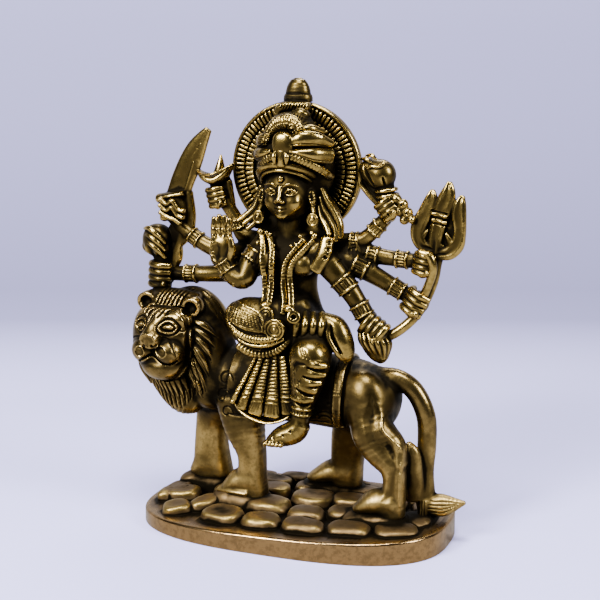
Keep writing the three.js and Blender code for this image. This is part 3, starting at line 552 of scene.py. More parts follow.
def cast(name, clay, limit):
    """Makes the mesh of a block of clay, with at most this many triangles."""
    solid = np.clip(0.5 - clay.field / clay.cell, 0, 1)
    # fill the coarse grid that all castings share
    axes = []
    for k in range(3):
        steps = (crowd_low[k] + COARSE * np.arange(crowd.shape[k]) - clay.low[k]) / clay.cell
        axes.append(np.clip(np.round(steps), -1, clay.count[k]).astype(int))
    inside = [np.nonzero((steps >= 0) & (steps < clay.count[k]))[0] for k, steps in enumerate(axes)]
    picked = solid[np.ix_(*(steps[rows] for steps, rows in zip(axes, inside)))]
    crowd[np.ix_(*inside)] = np.maximum(crowd[np.ix_(*inside)], picked)

    grid = openvdb.FloatGrid(Clay.FAR)
    grid.copyFromArray(clay.field, tolerance=0.0)
    points, triangles, quads = grid.convertToPolygons(isovalue=0.0, adaptivity=0.0)
    halves = np.vstack([quads[:, [0, 1, 2]], quads[:, [0, 2, 3]],
                        triangles.reshape(-1, 3)]).astype(np.int32)
    a, b, c = (points[halves[:, k]] for k in range(3))
    if np.einsum("ij,ij->i", a, np.cross(b, c)).sum() < 0:
        halves = halves[:, ::-1]
    places = points.astype(np.float32)
    halves = main_bodies(halves, len(points))
    used = np.unique(halves)
    renumber = np.zeros(len(points), np.int32)
    renumber[used] = np.arange(len(used))
    places, halves = places[used], renumber[halves]

    mesh = bpy.data.meshes.new(name)
    mesh.vertices.add(len(places))
    mesh.vertices.foreach_set("co", (places * clay.cell + clay.low).astype(np.float32).ravel())
    mesh.loops.add(3 * len(halves))
    mesh.loops.foreach_set("vertex_index", halves.ravel())
    mesh.polygons.add(len(halves))
    mesh.polygons.foreach_set("loop_start", np.arange(0, 3 * len(halves), 3, dtype=np.int32))
    mesh.update(calc_edges=True)
    piece = bpy.data.objects.new(name, mesh)
    bpy.context.scene.collection.objects.link(piece)
    if len(halves) > limit:
        thinner = piece.modifiers.new("thinner", "DECIMATE")
        thinner.ratio = limit / len(halves)
        thinner.use_collapse_triangulate = True
        depsgraph = bpy.context.evaluated_depsgraph_get()
        fine = mesh
        mesh = bpy.data.meshes.new_from_object(piece.evaluated_get(depsgraph))
        piece.modifiers.clear()
        piece.data = mesh
        bpy.data.meshes.remove(fine)
        mesh.name = name
    at = np.zeros(3 * len(mesh.vertices), np.float32)
    mesh.vertices.foreach_get("co", at)
    at = at.reshape(-1, 3)
    near = sample(box_blur(solid, NEAR_CELLS), (at - clay.low) / clay.cell)
    mesh.attributes.new("near", "FLOAT", "POINT").data.foreach_set("value", near)
    mesh.polygons.foreach_set("use_smooth", np.ones(len(mesh.polygons), bool))
    castings.append((piece, at))
    print(name, "has", len(mesh.polygons), "triangles of", len(halves), "after",
          round(time.time() - STARTED), "s")


def main_bodies(triangles, count):
    """The triangles without crumbs, which are bodies with a very small share of them."""
    label = np.arange(count, dtype=np.int32)
    while True:
        least = label[triangles].min(1)
        fresh = label.copy()
        for k in range(3):
            np.minimum.at(fresh, triangles[:, k], least)
        fresh = fresh[fresh]
        if (fresh == label).all():
            break
        label = fresh
    bodies, sizes = np.unique(label[triangles[:, 0]], return_counts=True)
    kept = bodies[sizes >= CRUMB * len(triangles)]
    return triangles[np.isin(label[triangles[:, 0]], kept)]


# %% [markdown]
# ## The lion
# The lion is the largest casting: a barrel of a body under a saddle cloth, four short legs, and a big head
# turned to the viewer. The body is laid up from rolls first. The legs were filed flat after casting, so
# theirs are boxy.

# %% The lion's body, legs and tail
lion = Clay((-83, -31, 5), (81, 31, 111), 0.34)
TRUNK = [
    [-40, 3, 66, 14, 11.5], [-20, 3, 63.5, 16, 13.6], [4, 3, 63, 15.7, 14.2],
    [26, 3, 62.5, 16.2, 14.2], [41, 3, 61, 12, 10],
]
lion.add(roll(TRUNK, 6), 2)
# haunches
lion.add(lumps([([34, -5, 61], (11, 9, 15), 12), ([33, 10, 60], (11, 9, 14), 10)]), 3)
# near hind leg, the hock that stands out behind it, far hind leg, near foreleg and far foreleg,
# each with its squareness
LEGS = [
    ([[35, -7.4, 59, 8, 6.6], [38.4, -9.4, 50, 9.2, 7.6], [42, -10.8, 43, 7.2, 6.6],
      [48, -11.5, 36, 5.4, 5.6], [49, -11.5, 27, 4.9, 5.2], [47.4, -11.5, 16, 6.4, 6]], 2.6),
    ([[43, -8.6, 53, 3, 4.6], [49.6, -10.2, 46.4, 3.4, 5], [51.4, -11.2, 38, 2.8, 5]], 2),
    ([[27, 11, 56, 12, 8], [20, 17, 41, 9.4, 7], [17, 20, 29, 7.8, 6.4], [16.6, 20, 16, 7.4, 6.2]], 2.5),
    ([[-26, -4, 56, 11, 8], [-23.4, -6, 45, 9, 7], [-20, -6, 33, 6.2, 6.2], [-20, -6, 22, 6.4, 6.2],
      [-20.4, -6, 15, 7.6, 6.4]], 3),
    ([[-42, 8, 54, 11, 8], [-47, 11.5, 42, 7.8, 6.8], [-48, 11.5, 30, 7.8, 6.6],
      [-47.4, 11.5, 16, 9.6, 6.8]], 2.6),
]
for stations, square in LEGS:
    lion.add(roll(stations, 4, square=square), 2)

# %% Paws
# where each leg stands, and how far its paw reaches forwards
PAWS = [(-20, -6, 13), (-46, 11.5, 11), (47, -11.5, 15), (17, 20, 18)]
for x, y, reach in PAWS:
    lion.add(roll([[x + 1.6, y, 20.4, 6.4, 6.2], [x - reach * 0.4, y, 19.4, 6, 6.6],
                   [x - reach * 0.8, y, 17, 3.6, 6], [x - reach, y, 16, 1.9, 4.4]], 4), 1.2)
    # toes are divided by cuts over the front of the paw
    for side in (-2.4, 0.4, 3.0):
        lion.cut(roll([[x - reach * 0.86, y + side, 21.2, 0.4],
                       [x - reach - 1.4, y + side * 1.1, 18.6, 0.6],
                       [x - reach - 3.2, y + side * 1.1, 15.5, 0.5]], 3), 0.5)
# the near foreleg stands on a flange that was left by the wax
lion.add(roll([[-34.6, -7, 15, 1.6, 4], [-27, -8.4, 15.4, 2, 5], [-20, -9, 15.4, 2, 5]], 4), 1.2)

# %% Tail, tuft and the web of metal between tail and hind leg
lion.add(roll([[34, 3, 69, 6.6, 6], [44.6, 3, 71.4, 4.6, 4.4], [53, 3, 66.8, 4.3, 4.2],
               [58.4, 3, 56, 4.3, 4], [59.1, 3, 43, 4.2, 4], [58.4, 2, 31, 4.3, 4],
               [59.8, 1, 18.5, 4.3, 4]], 5), 2)
lion.add(roll([[58, 1, 17.4, 4, 4], [64, 1, 16.8, 5, 4.6], [69, 1, 17.3, 4.6, 4],
               [77.1, 1, 19.3, 0.9, 1]], 5), 1.2)
lion.add(roll([[60.4, 0, 18, 3.8, 3.8], [59, -2, 10.4, 2.2, 2.4]], 4), 1)
lion.add(roll([[53, -4, 45, 1.4, 1.4], [53.6, -3.8, 41, 4.4, 3], [53.8, -3.2, 31, 5.6, 3.6],
               [54.8, -1.4, 20, 5.2, 3.4]], 4), 1.2)

# %% [markdown]
# The head is a smooth ball that looks out of the mane like a mask. What makes it a lion in this style is
# graphic: two ringed eyes, a blunt nose, a disc on each pad of the muzzle, upright locks between the ears,
# long strokes for the beard.

# %% The lion's head
lion.add(lump([-61.6, -5.4, 83.2], (15.4, 13.8, 17.6), square=2.5), 2)
# blunt nose on a broad bridge, pads of the muzzle, and a full lower lip
lion.add(roll([[-60.6, -15, 93.6, 3.6, 3.4], [-61.2, -18, 90.4, 4.4, 3.8],
               [-62, -19.8, 87.4, 4.8, 3.8]], 5), 2.4)
lion.add(lump([-62.3, -20.8, 85.4], (4.9, 3.9, 4.5), square=2.4), 0.8)
lion.add(lumps([([-55.6, -15.4, 79.2], (7, 6.8, 6.2), -10), ([-68.0, -15.4, 79.2], (6, 6.4, 6), 10)]), 0.9)
lion.add(lump([-60.2, -10.8, 71.4], (11, 9.4, 7)), 1.4)
# cheekbone and brow
lion.add(lumps([([-50.4, -11, 85.6], (4.4, 4.8, 5), 10), ([-51.6, -11.4, 93.8], (5.4, 4.8, 3.8), -20)]), 2)
# eyeballs, hardly proud of the face
lion.add(lumps([([-54.8, -15.6, 90.7], (3.6, 2.9, 2.5), -4),
                ([-68.6, -15.4, 91.1], (3.2, 2.6, 2.4), 6)]), 0.5)

# %% Mane
lion.add(lump([-53, 4.6, 79], (20.2, 12, 26.6)), 2)
lion.add(roll([[-57, 2, 60, 11, 10], [-38, 3, 62, 12.6, 11.2]], 5), 2)
lion.add(roll([[-62.0, -4, 73, 12.4, 9.6], [-59.6, -3.8, 65, 11.2, 8.8], [-54.4, -3, 56, 9.4, 7.4],
               [-49, -2, 53, 6, 6]], 5), 1)
lion.add(roll([[-51, -1, 95, 6, 7.2], [-43.4, -0.4, 84, 8.4, 8.6], [-40, 1, 67, 9, 10.2],
               [-43, 0, 55, 8, 8.6]], 5), 1.4)
# the cap of short hair between the ears, in line with the forehead
lion.add(roll([[-70, -1, 99.4, 5, 6], [-64, -1.6, 99.6, 5.6, 8.4], [-57, -1.4, 99.4, 5.6, 9],
               [-49, 0, 98.4, 5.4, 7.6]], 5), 1)

# %% Ears
for x, y, z, tilt in ((-70.8, -4.4, 99.6, 14), (-48.2, -5.4, 98.4, -12)):
    lion.add(lump([x, y, z], (4.9, 5.2, 4.5), tilt), 0.6)
    lion.cut(lump([x, y - 5.6, z], (3.3, 4.6, 3), tilt), 0.3)
    lion.add(ring((x, y - 3.4, z), 4.1, 3.7, 0.6, 17), 0.25)

# long locks that sweep back from the cheek, one over the other
LOCKS = [
    [[-47.0, -7.6, 92.0], [-42.0, -7.4, 89.6], [-36.4, -4.4, 83.4]],
    [[-46.6, -8.4, 89.0], [-41.6, -8.2, 85.6], [-37.0, -5.6, 79.0]],
    [[-46.8, -8.8, 86.0], [-41.8, -9, 81.4], [-37.8, -6.6, 72.6]],
    [[-47.2, -9, 82.0], [-42.6, -9.6, 75.6], [-39.0, -7.6, 65.6]],
    [[-48.4, -8.6, 76.4], [-44.8, -9.6, 69.6], [-41.0, -7.8, 60.0]],
    [[-49.6, -8.4, 71.4], [-46.0, -9, 64.6], [-42.4, -7, 55.4]],
]
for a, b, c in LOCKS:
    lion.add(roll([[*a, 1.4, 1.6], [*b, 2.2, 1.9], [*c, 0.7, 1]], 5), 0.35)
FAR_LOCKS = [
    [[-74.6, -5, 84], [-76.4, -5, 76], [-73.4, -5, 68]],
    [[-74, -6, 76], [-73.6, -6.6, 69], [-70, -6, 61]],
    [[-73.6, -3, 92], [-77, -3, 84], [-77.4, -3, 77]],
]
for a, b, c in FAR_LOCKS:
    lion.add(roll([[*a, 1.6, 1.6], [*b, 2.2, 2], [*c, 0.8, 0.9]], 5), 0.5)

# %% Saddle cloth
def girth(x, out):
    """The trunk's station at x, a little larger all round."""
    i = next(k for k, s in enumerate(TRUNK) if s[0] > x)
    t = (x - TRUNK[i - 1][0]) / (TRUNK[i][0] - TRUNK[i - 1][0])
    station = [a + (b - a) * t for a, b in zip(TRUNK[i - 1], TRUNK[i])]
    return station[:3] + [r + out for r in station[3:]]


def cloth(start, end, out, hem):
    """A skin over the trunk between two places, this far out, with its lower edge cut level at the hem."""
    forms = roll([girth(start + (end - start) * k / 4, out) for k in range(5)], 3, cap=0.02)

    def level(low, high, distance):
        return low, high, lambda x, y, z: np.maximum(distance(x, y, z), hem - z)

    return [level(*form) for form in forms]


lion.add(cloth(-30, 22.6, 1.0, 50.5), 0.5)
lion.add(cloth(20.4, 24.4, 2.1, 50.0), 0.4)

# %% [markdown]
# Now the needle: every line on the lion's front is drawn in one relief and pressed in. Deep strokes of the
# beard are wide and tapered, and the rings round the eyes are raised threads.

# %% Lines on the lion's face and mane
lines = Relief(lion)


def almond(x, z, wide, tall, tilt):
    """A closed pointed oval, for an eye."""
    return [
        [x + wide * cos(a), z + tall * sin(a) * abs(sin(a)) ** 0.35 + tilt * wide * cos(a)]
        for a in np.linspace(0, 2 * pi, 25)
    ]


# an eye is a ball in a dark line, in a bright rim, in another dark line
for x, z, wide, tilt in ((-54.8, 90.7, 1.0, -0.06), (-68.6, 91.1, 0.86, 0.08)):
    lines.stroke(almond(x, z, 4.5 * wide, 3.7, tilt), 0.5, -0.65)
    lines.stroke(almond(x, z, 3.6 * wide, 2.7, tilt), 0.48, 0.42)
    lines.stroke(almond(x, z, 2.7 * wide, 1.7, tilt), 0.45, -0.7)
    lines.stroke([[x - 1.6 * wide, z], [x + 1.6 * wide, z]], 0.9, 0.3)
# wedges cut into the forehead under the hairline
FOREHEAD = [
    ((-66.4, 97.6), (-67.6, 95.8)), ((-63.6, 97.8), (-65.8, 94.6)), ((-61.0, 97.8), (-63.8, 92.6)),
    ((-58.4, 97.6), (-60.0, 94.8)), ((-55.8, 97.4), (-57.0, 95.8)),
]
for top, bottom in FOREHEAD:
    middle = ((top[0] + bottom[0]) / 2 - 0.2, (top[1] + bottom[1]) / 2)
    lines.stroke([top, middle, bottom], 0.85, -0.9, taper=0.8)
# the edge of the face, from the left ear over the brow and down to the chin
FACE_EDGE = [[-67.4, 98.4], [-62.9, 98.8], [-57.6, 98.6], [-53, 98.2], [-50.0, 96.6], [-48.0, 93.6],
             [-47.6, 89.8], [-47.6, 84], [-48.2, 78], [-49.6, 72.4], [-52.6, 67.8], [-58.4, 64.6],
             [-64.2, 65.4], [-69.2, 68.4], [-72.4, 72]]
lines.stroke(FACE_EDGE, 0.85, -1.1, taper=0.35)
# discs on the pads, sunk a little inside a thin rim
for x, z, wide in ((-57.2, 80.1, 2.7), (-67.9, 79.4, 2.1)):
    lines.area(almond(x, z, wide, 2.3, -0.1), -0.35, 0.4)
    lines.stroke(almond(x, z, wide + 0.3, 2.6, -0.1), 0.42, 0.34)
# the nose's flat front, nostrils and the groove below
lines.stroke([[-66.6, 85.4], [-65.4, 87.6], [-62.6, 88.4], [-59.8, 87.4], [-58.6, 85.6]], 0.5, 0.4)
lines.area([[-66, 85], [-64.6, 87], [-62.4, 87.6], [-60, 86.8], [-59, 85], [-60.4, 82.6], [-62.6, 81.8],
            [-65, 82.8]], -0.4, 0.8)
for x, z in ((-64.6, 82.6), (-60.6, 82.8)):
    lines.dot((x, z), 1.0, -1.1)
lines.stroke([[-66.8, 84], [-66.4, 82.2], [-64.4, 81], [-62.4, 80.6], [-60.2, 81.4],
              [-58.6, 83.6]], 0.5, -0.8)
lines.stroke([[-62.6, 80.4], [-62.8, 77.6]], 0.6, -0.8)
lines.stroke([[-62.4, 80.6], [-61.4, 78.6]], 0.4, -0.5)
# mouth: a smile that meets under the nose
lines.stroke([[-73.4, 74.6], [-71.6, 73.4], [-68.4, 75], [-64.6, 77.2], [-62.8, 77.6], [-61, 76.8],
              [-58.2, 75], [-55.8, 74], [-53.2, 74.2], [-50.6, 75.8]], 0.75, -1.5, taper=0.5)
# creases from the eye's corners and round the cheek
for crease in ([[-51.2, 89.4], [-49.4, 88.8], [-47.4, 89.2]], [[-75.6, 83], [-72.4, 84.8], [-69, 85.8]]):
    lines.stroke(crease, 0.45, -0.6, taper=0.5)
lines.stroke([[-58, 86.6], [-55.4, 85.6], [-52.8, 83.2], [-51.2, 80], [-50.4, 77]], 0.5, -0.5, taper=0.7)
# short hair between the ears: upright bright locks with dark gaps
for k in range(7):
    x = -64.2 + 1.9 * k
    lines.stroke([[x, 99.2], [x + 0.4, 101.4], [x + 1.6, 105]], 0.6, -1.1, taper=0.3)
# the beard: for each long stroke a shorter one that laps over its right side
BEARD_TOPS = [-71.4, -69.2, -67, -64.8, -62.6, -60.4, -58.2, -56, -53.8, -51.6, -49.8, -48.2, -46.6]
for i, x in enumerate(BEARD_TOPS):
    t = i / (len(BEARD_TOPS) - 1)
    top = 66.4 + 10 * (t - 0.42) ** 2 * 3.2
    x_end = -68.4 + 25.6 * t
    z_end = 58.6 - 8.4 * sin(pi * min(t * 1.12, 1))
    for start, stop, width, height in (
        ((x, top - 1.6), (x_end, z_end), 0.62, -0.95),
        ((x + 1.1, top - 4.2), (x_end + 1.5, z_end + 0.6), 0.42, -0.6),
    ):
        middle = ((start[0] + stop[0]) / 2 + 0.8, (start[1] + stop[1]) / 2)
        lines.stroke([start, middle, stop], width, height, taper=0.85)
# grooves along the long locks, and shallow ones over the back of the mane
for a, b, c in LOCKS:
    for shift in (-0.8, 0.5):
        lines.stroke([[a[0] + shift, a[2] - 0.6], [b[0] + shift, b[2] - 0.6], [c[0] - 0.3, c[2] + 1.4]],
                     0.4, -0.55, taper=0.8)
for k in range(5):
    groove = [[-55 + 2.6 * k, 104.6 - 0.3 * k], [-44.4 + 2.0 * k, 101.4 - 1.6 * k],
              [-37.6 + 1.1 * k, 93.6 - 2.4 * k]]
    lines.stroke(groove, 0.45, -0.4, taper=0.7)
lines.press(-32, 3)
# the same grooves on the mane's back
lines = Relief(lion)
for k in range(9):
    x = -66 + 4 * k
    lines.stroke([[x, 101 - 0.02 * (x + 53) ** 2], [x + 3 + 0.4 * k, 84],
                  [x + 5 + 0.3 * k, 64]], 0.5, -0.5, taper=0.6)
lines.press(4, 24, facing=1)

# %% Lines on the saddle cloth, hind leg and tail
lines = Relief(lion)
# the cloth's double hem at the back, two scrolls, a dot and its lower border
lines.stroke([[25.2, 79.6], [25.4, 66], [23.9, 50.2]], 0.6, -0.9)
lines.stroke([[20.2, 79.4], [20.6, 66], [19.6, 50.6]], 0.4, -0.5)
for radius, x0, z0 in ((5.4, 16.4, 52.2), (3.4, 16.4, 52.2), (4.6, 9.4, 53.6), (2.6, 9.4, 53.6)):
    arc = [[x0 + radius * cos(a), z0 + radius * sin(a)] for a in np.linspace(0.1, 2.7, 7)]
    lines.stroke(arc, 0.4, -0.45, taper=0.5)
lines.dot((18.9, 61.6), 0.9, -0.7)
lines.stroke([[-28, 52], [-14, 51.8], [4, 51.9], [18, 52]], 0.45, -0.45)
# the cloth's border curls up between mane and foreleg
for x, z, r in ((-31, 67, 4.2), (-32.4, 59, 4.4), (-29.6, 52.6, 3.4)):
    curl = [[x + r * (1 - 0.09 * i) * cos(0.7 * i), z + r * (1 - 0.09 * i) * sin(0.7 * i)]
            for i in range(10)]
    lines.stroke(curl, 0.42, -0.5, taper=0.4)
# the near hind leg was filed to a flat side, with a sharp edge at the back
LEG_FLAT = [[38.6, 68], [35.4, 57], [38.2, 47], [44.6, 41], [48.4, 37.6], [47, 32.5], [46.4, 27.2],
            [44.6, 21.6], [52.2, 21], [52.6, 30], [53, 38], [52.8, 44.4], [48, 48.6], [43.8, 53],
            [42.8, 60]]
lines.area(LEG_FLAT, -0.8, 3.2)
lines.stroke([[43.6, 58], [44.6, 53.4], [49, 48.6], [53, 45], [53.2, 37], [52.6, 30],
              [52.8, 20]], 0.7, 0.32, taper=0.4)
# grooves of the tail's tuft
for k in range(4):
    z = 14.6 + 1.6 * k
    lines.stroke([[61.6, z], [68.4, z + 0.3], [75.4, 18.4 + 0.25 * k]], 0.42, -0.5, taper=0.8)
for k in range(3):
    lines.stroke([[57.6 + 1.4 * k, 19.4], [58.2 + 1.1 * k, 11.4]], 0.4, -0.4, taper=0.6)
lines.press(-32, 24)
# soles are cut flat, but not the tail and its tuft, which reach lower
SOLE, TAIL_X = 14.1, 55.5
below = slice(0, int((SOLE - lion.low[2]) / lion.cell))
at_tail = np.arange(lion.count[0])[:, None, None] * lion.cell + lion.low[0] > TAIL_X
lion.field[:, :, below] = np.where(at_tail, lion.field[:, :, below], Clay.FAR)
cast("lion_casting", lion, 195000)

# %% [markdown]
# ## The plinth
# The plinth is an oval plate, ground smooth round its side, with a pavement of worn stones. The plate's
# outline is a superellipse, so its distance is a short formula. The stones are cushions at given places:
# the front ones are listed one by one, and the rest follow the oval in rows. A Geometry Nodes tree lays
# them and makes each a little uneven.

# %% The plate
plinth = Clay((-75, -46, -3), (75, 46, 23), 0.36)
HALF_LENGTH, HALF_WIDTH, OVAL_POWER = 71.1, 42.05, 2.72
HEAD_END, TAIL_END = 6.4, 10.5  # thickness of the plate
EDGE_RADIUS = 1.1


def plate_top(x):
    """The height of the plate's top, which slopes up to the tail."""
    return (HEAD_END + TAIL_END) / 2 + (TAIL_END - HEAD_END) / 2 * x / HALF_LENGTH


def oval(angle, inset):
    """A place on the oval, this far in from the plate's side."""
    c, s = cos(angle), sin(angle)
    fuller = 2 / OVAL_POWER
    return (
        (HALF_LENGTH - inset) * (abs(c) ** fuller) * (1 if c > 0 else -1),
        (HALF_WIDTH - inset) * (abs(s) ** fuller) * (1 if s > 0 else -1),
    )


def plate(x, y, z):
    """The distance to the plate, with its upper edge rounded."""
    u, v = np.abs(x / HALF_LENGTH), np.abs(y / HALF_WIDTH)
    share = (u**OVAL_POWER + v**OVAL_POWER) ** (1 / OVAL_POWER) + 1e-6
    steep = np.hypot((u / share) ** (OVAL_POWER - 1) / HALF_LENGTH,
                     (v / share) ** (OVAL_POWER - 1) / HALF_WIDTH)
    side = (share - 1) / (steep + 1e-6) + 0 * z
    top = z - plate_top(x) + 0 * side
    a, b = np.maximum(side + EDGE_RADIUS, 0), np.maximum(top + EDGE_RADIUS, 0)
    rounded = np.hypot(a, b) - EDGE_RADIUS
    return np.maximum(np.where((a > 0) & (b > 0), rounded, np.maximum(side, top)), -z)


corner = np.array([HALF_LENGTH, HALF_WIDTH, 12.0])
plinth.add([(np.array([-HALF_LENGTH, -HALF_WIDTH, 0.0]), corner, plate)], 0.01)


# %% A tree that lays stones
def stone_tree():
    tree = Tree("stones at places", squareness="Float", tilt="Float", lumpiness="Float", seed="Float")
    cushion = tree.pellet((2, 2, 2), tree.input("Squareness"), level=4)
    size = tree.node("GeometryNodeInputNamedAttribute", {"Name": "size"}, data_type="FLOAT_VECTOR")
    turn = tree.node("GeometryNodeInputNamedAttribute", {"Name": "turn"}, data_type="FLOAT")
    rotation = tree.node("ShaderNodeCombineXYZ", {"X": tree.input("Tilt"), "Z": turn.outputs[0]})
    sockets = {"Points": tree.input("Geometry"), "Instance": cushion, "Rotation": rotation.outputs[0],
               "Scale": size.outputs[0]}
    laid = tree.node("GeometryNodeInstanceOnPoints", sockets)
    real = tree.node("GeometryNodeRealizeInstances", {"Geometry": laid.outputs[0]})
    sockets = {"W": tree.input("Seed"), "Scale": 0.13, "Detail": 1.0}
    noise = tree.node("ShaderNodeTexNoise", sockets, noise_dimensions="4D").outputs["Color"]
    centred = tree.node("ShaderNodeVectorMath", {0: noise, 1: (0.5, 0.5, 0.5)}, operation="SUBTRACT")
    sockets = {0: centred.outputs[0], "Scale": tree.input("Lumpiness")}
    push = tree.node("ShaderNodeVectorMath", sockets, operation="SCALE")
    uneven = tree.node("GeometryNodeSetPosition", {"Geometry": real.outputs[0], "Offset": push.outputs[0]})
    return tree.finish(uneven.outputs[0])


STONES = stone_tree()

# %% The stones
# front stones, listed one by one: x, y, half length, half width, height of the top, turn
FRONT_STONES = [
    (-49.6, -23.6, 7.2, 6.4, 12.4, 0.5), (-39.4, -15.4, 8.6, 4.6, 13.2, 1.0),
    (-25.4, -26.2, 10.6, 7.8, 13.0, -0.1),
    (-6.4, -27.8, 9.4, 7, 12.8, 0.0), (13, -28.2, 10.8, 6.8, 12.8, 0.0), (33, -25.2, 10.8, 6.8, 13.2, 0.12),
    (52.6, -20, 10.2, 7.4, 13.6, 0.4), (-54.4, -5.6, 8.6, 6.6, 12.8, 0.2), (-62.4, -8, 4, 6.6, 11.2, 0.1),
    (-10.4, -9.6, 11.8, 8, 14.2, 0.0), (9.8, -15, 9.4, 6.6, 13.8, 0.0), (26.8, -9.4, 9.8, 7.4, 14.2, 0.1),
    (6.8, 3.2, 11.4, 8.8, 14.8, 0.0), (-33, 1, 10, 7, 13.8, -0.3), (46, -6, 8.6, 6.4, 13.8, 0.2),
]


def stone_row(inset, count, first, last, height, seed):
    """Stones along the oval between two angles, in degrees, anticlockwise from the tail end."""
    chance = np.random.default_rng(seed)
    rows = []
    for k in range(count):
        angle = radians(first + (last - first) * (k + 0.5) / count)
        x, y = oval(angle, inset + chance.uniform(-0.8, 0.8))
        x2, y2 = oval(angle + 0.02, inset)
        x1, y1 = oval(angle - 0.02, inset)
        rows.append((x, y, chance.uniform(8.4, 10.4), chance.uniform(6.2, 7.4),
                     height + chance.uniform(-0.5, 0.5),
                     atan2(y2 - y1, x2 - x1) + chance.uniform(-0.15, 0.15)))
    return rows


# stones under the lion, all of one size: x, y, turn
HIDDEN_STONES = ((24, 6, 0.1), (40, 9, -0.1), (-16, 8, 0.1), (-38, 14, 0.2), (2, 17, 0), (-20, 20, -0.2),
                 (24, 19, 0.1))
rows = FRONT_STONES + stone_row(13, 12, -14, 190, 13, 4)
rows += [(x, y, 10.4, 7.6, 14.4, turn) for x, y, turn in HIDDEN_STONES]
laid = []
BURIED = 1.6  # how far a stone's middle lies under the plate's top
CAGE, TALL_CAGE, PAW_CAGE = 1.06, 1.3, 1.1  # a subdivided cushion is smaller than its cage
for x, y, half_length, half_width, top, turn in rows:
    base = plate_top(x) - BURIED
    laid.append([x, y, base, half_length * CAGE, half_width * CAGE, (top - base) * TALL_CAGE, turn])
press_on(plinth, grown(STONES, places_object(laid), squareness=0.2, tilt=0.1, lumpiness=2.2, seed=3.7), 0.1)
# worn stones are flat on top: they are ground down to a level that rises to the middle
along, across, upward = (plinth.low[i] + plinth.cell * np.arange(plinth.count[i]) for i in range(3))
out = ((np.abs(along) / HALF_LENGTH) ** 2)[:, None] + ((np.abs(across) / HALF_WIDTH) ** 2)[None, :]
WORN_LEVEL, WORN_SLOPE, WORN_RISE, WORN_WAVE, SOFT = 11.5, 0.014, 2.7, 0.35, 2.0
worn = WORN_LEVEL + WORN_SLOPE * along[:, None] + WORN_RISE * (1 - out)
worn = worn + WORN_WAVE * np.sin(0.23 * along + 1)[:, None] * np.cos(0.31 * across)[None, :]
over = (upward[None, None, :] - worn[:, :, None]).astype(np.float32)
share = np.clip(0.5 + 0.5 * (over - plinth.field) / SOFT, 0, 1)
plinth.field = plinth.field * (1 - share) + over * share + SOFT * share * (1 - share) / 2
# a broad stone under each paw, up to just over the sole
laid = []
PAW_STONE_TOP = 14.6
for x, y, reach in PAWS:
    base = plate_top(x) - BURIED
    half_length = (reach * 0.5 + 7) * CAGE
    laid.append([x - reach * 0.4, y, base, half_length, 9 * CAGE, (PAW_STONE_TOP - base) * PAW_CAGE, 0])
press_on(plinth, grown(STONES, places_object(laid), squareness=0.3, tilt=0.0, lumpiness=1.6, seed=1.2), 0.1)
underside = plinth.low[2] + plinth.cell * np.arange(plinth.count[2], dtype=np.float32)
plinth.field = np.maximum(plinth.field, -underside[None, None, :].astype(np.float32))
print("stones laid:", len(rows) + len(laid))
cast("plinth_casting", plinth, 150000)

# %% [markdown]
# ## The goddess
# She is one casting with her arms and dress. Her body and her eight arms are rolls again, joined with wide
# fillets at the shoulders. A bangle is a flat band between two thin edges, and closed hands are four finger
# rolls.

# %% Body
goddess = Clay((-80, -28, 39), (78, 19, 152), 0.34)
goddess.add(lump([-3, 3, 90], (19.4, 12.6, 11.4)), 2)
goddess.add(roll([[-3, 2, 95, 15, 10.2], [-3.4, 1.4, 103, 13, 8.6], [-3.8, 1, 110, 12.2, 8],
                  [-4.2, 1, 118, 13.4, 8.2], [-5, 1.5, 126, 16, 7.4], [-5, 2, 132, 10.4, 5.8]], 5), 2)
goddess.add(roll([[-4.5, 1, 129, 6, 5.4], [-4.4, 0.4, 136, 5.3, 5.1], [-4.4, 0, 143, 5.6, 5.2]], 4), 1.6)
goddess.add(lumps([([-11.8, -6.4, 121.6], (5.4, 5, 5.2)), ([4.6, -6.4, 121], (5.6, 5, 5.4))]), 1.2)


# %% Bands and fists
TICKS = []  # cuts between a band's edges, drawn with the other lines
BAND_EDGE = 0.5  # how broad a band's raised edges are


def band(stations, share, wide, rise):
    """A flat band round a limb between two raised edges, about a share of its length."""
    rows = spline([s if len(s) == 5 else (*s, s[3]) for s in stations], 24)
    run = np.concatenate([[0], np.cumsum(np.linalg.norm(np.diff(rows[:, :3], axis=0), axis=1))])
    middle = share * run[-1]

    def hoop(start, stop, out):
        ends = [[np.interp(middle + d, run, rows[:, c]) for c in range(5)] for d in (start, stop)]
        places = [np.array(end[:3]) for end in ends]
        goddess.add([link(*places, *(np.array(end[3:]) + out for end in ends), cap=0.12, square=2)], 0.2)
        return places, ends[0][3]

    (start, stop), radius = hoop(-wide / 2, wide / 2, rise * 0.45)
    for side in (-1, 1):
        hoop(side * wide / 2 - BAND_EDGE / 2, side * wide / 2 + BAND_EDGE / 2, rise)
    along = unit(stop - start)
    across = np.array([-along[2], 0, along[0]])
    for k in (-2, -1, 0, 1, 2):
        middle_place = (start + stop) / 2 + across * radius * 0.4 * k
        reach = along * (wide / 2 - BAND_EDGE)
        TICKS.append([(middle_place - reach)[[0, 2]], (middle_place + reach)[[0, 2]]])


def arm(stations, bands, blend=1.6):
    """An arm with bands at some shares of its length: (share, width, height)."""
    goddess.add(roll(stations, 5), blend)
    for share, wide, rise in bands:
        band(stations, share, wide, rise)


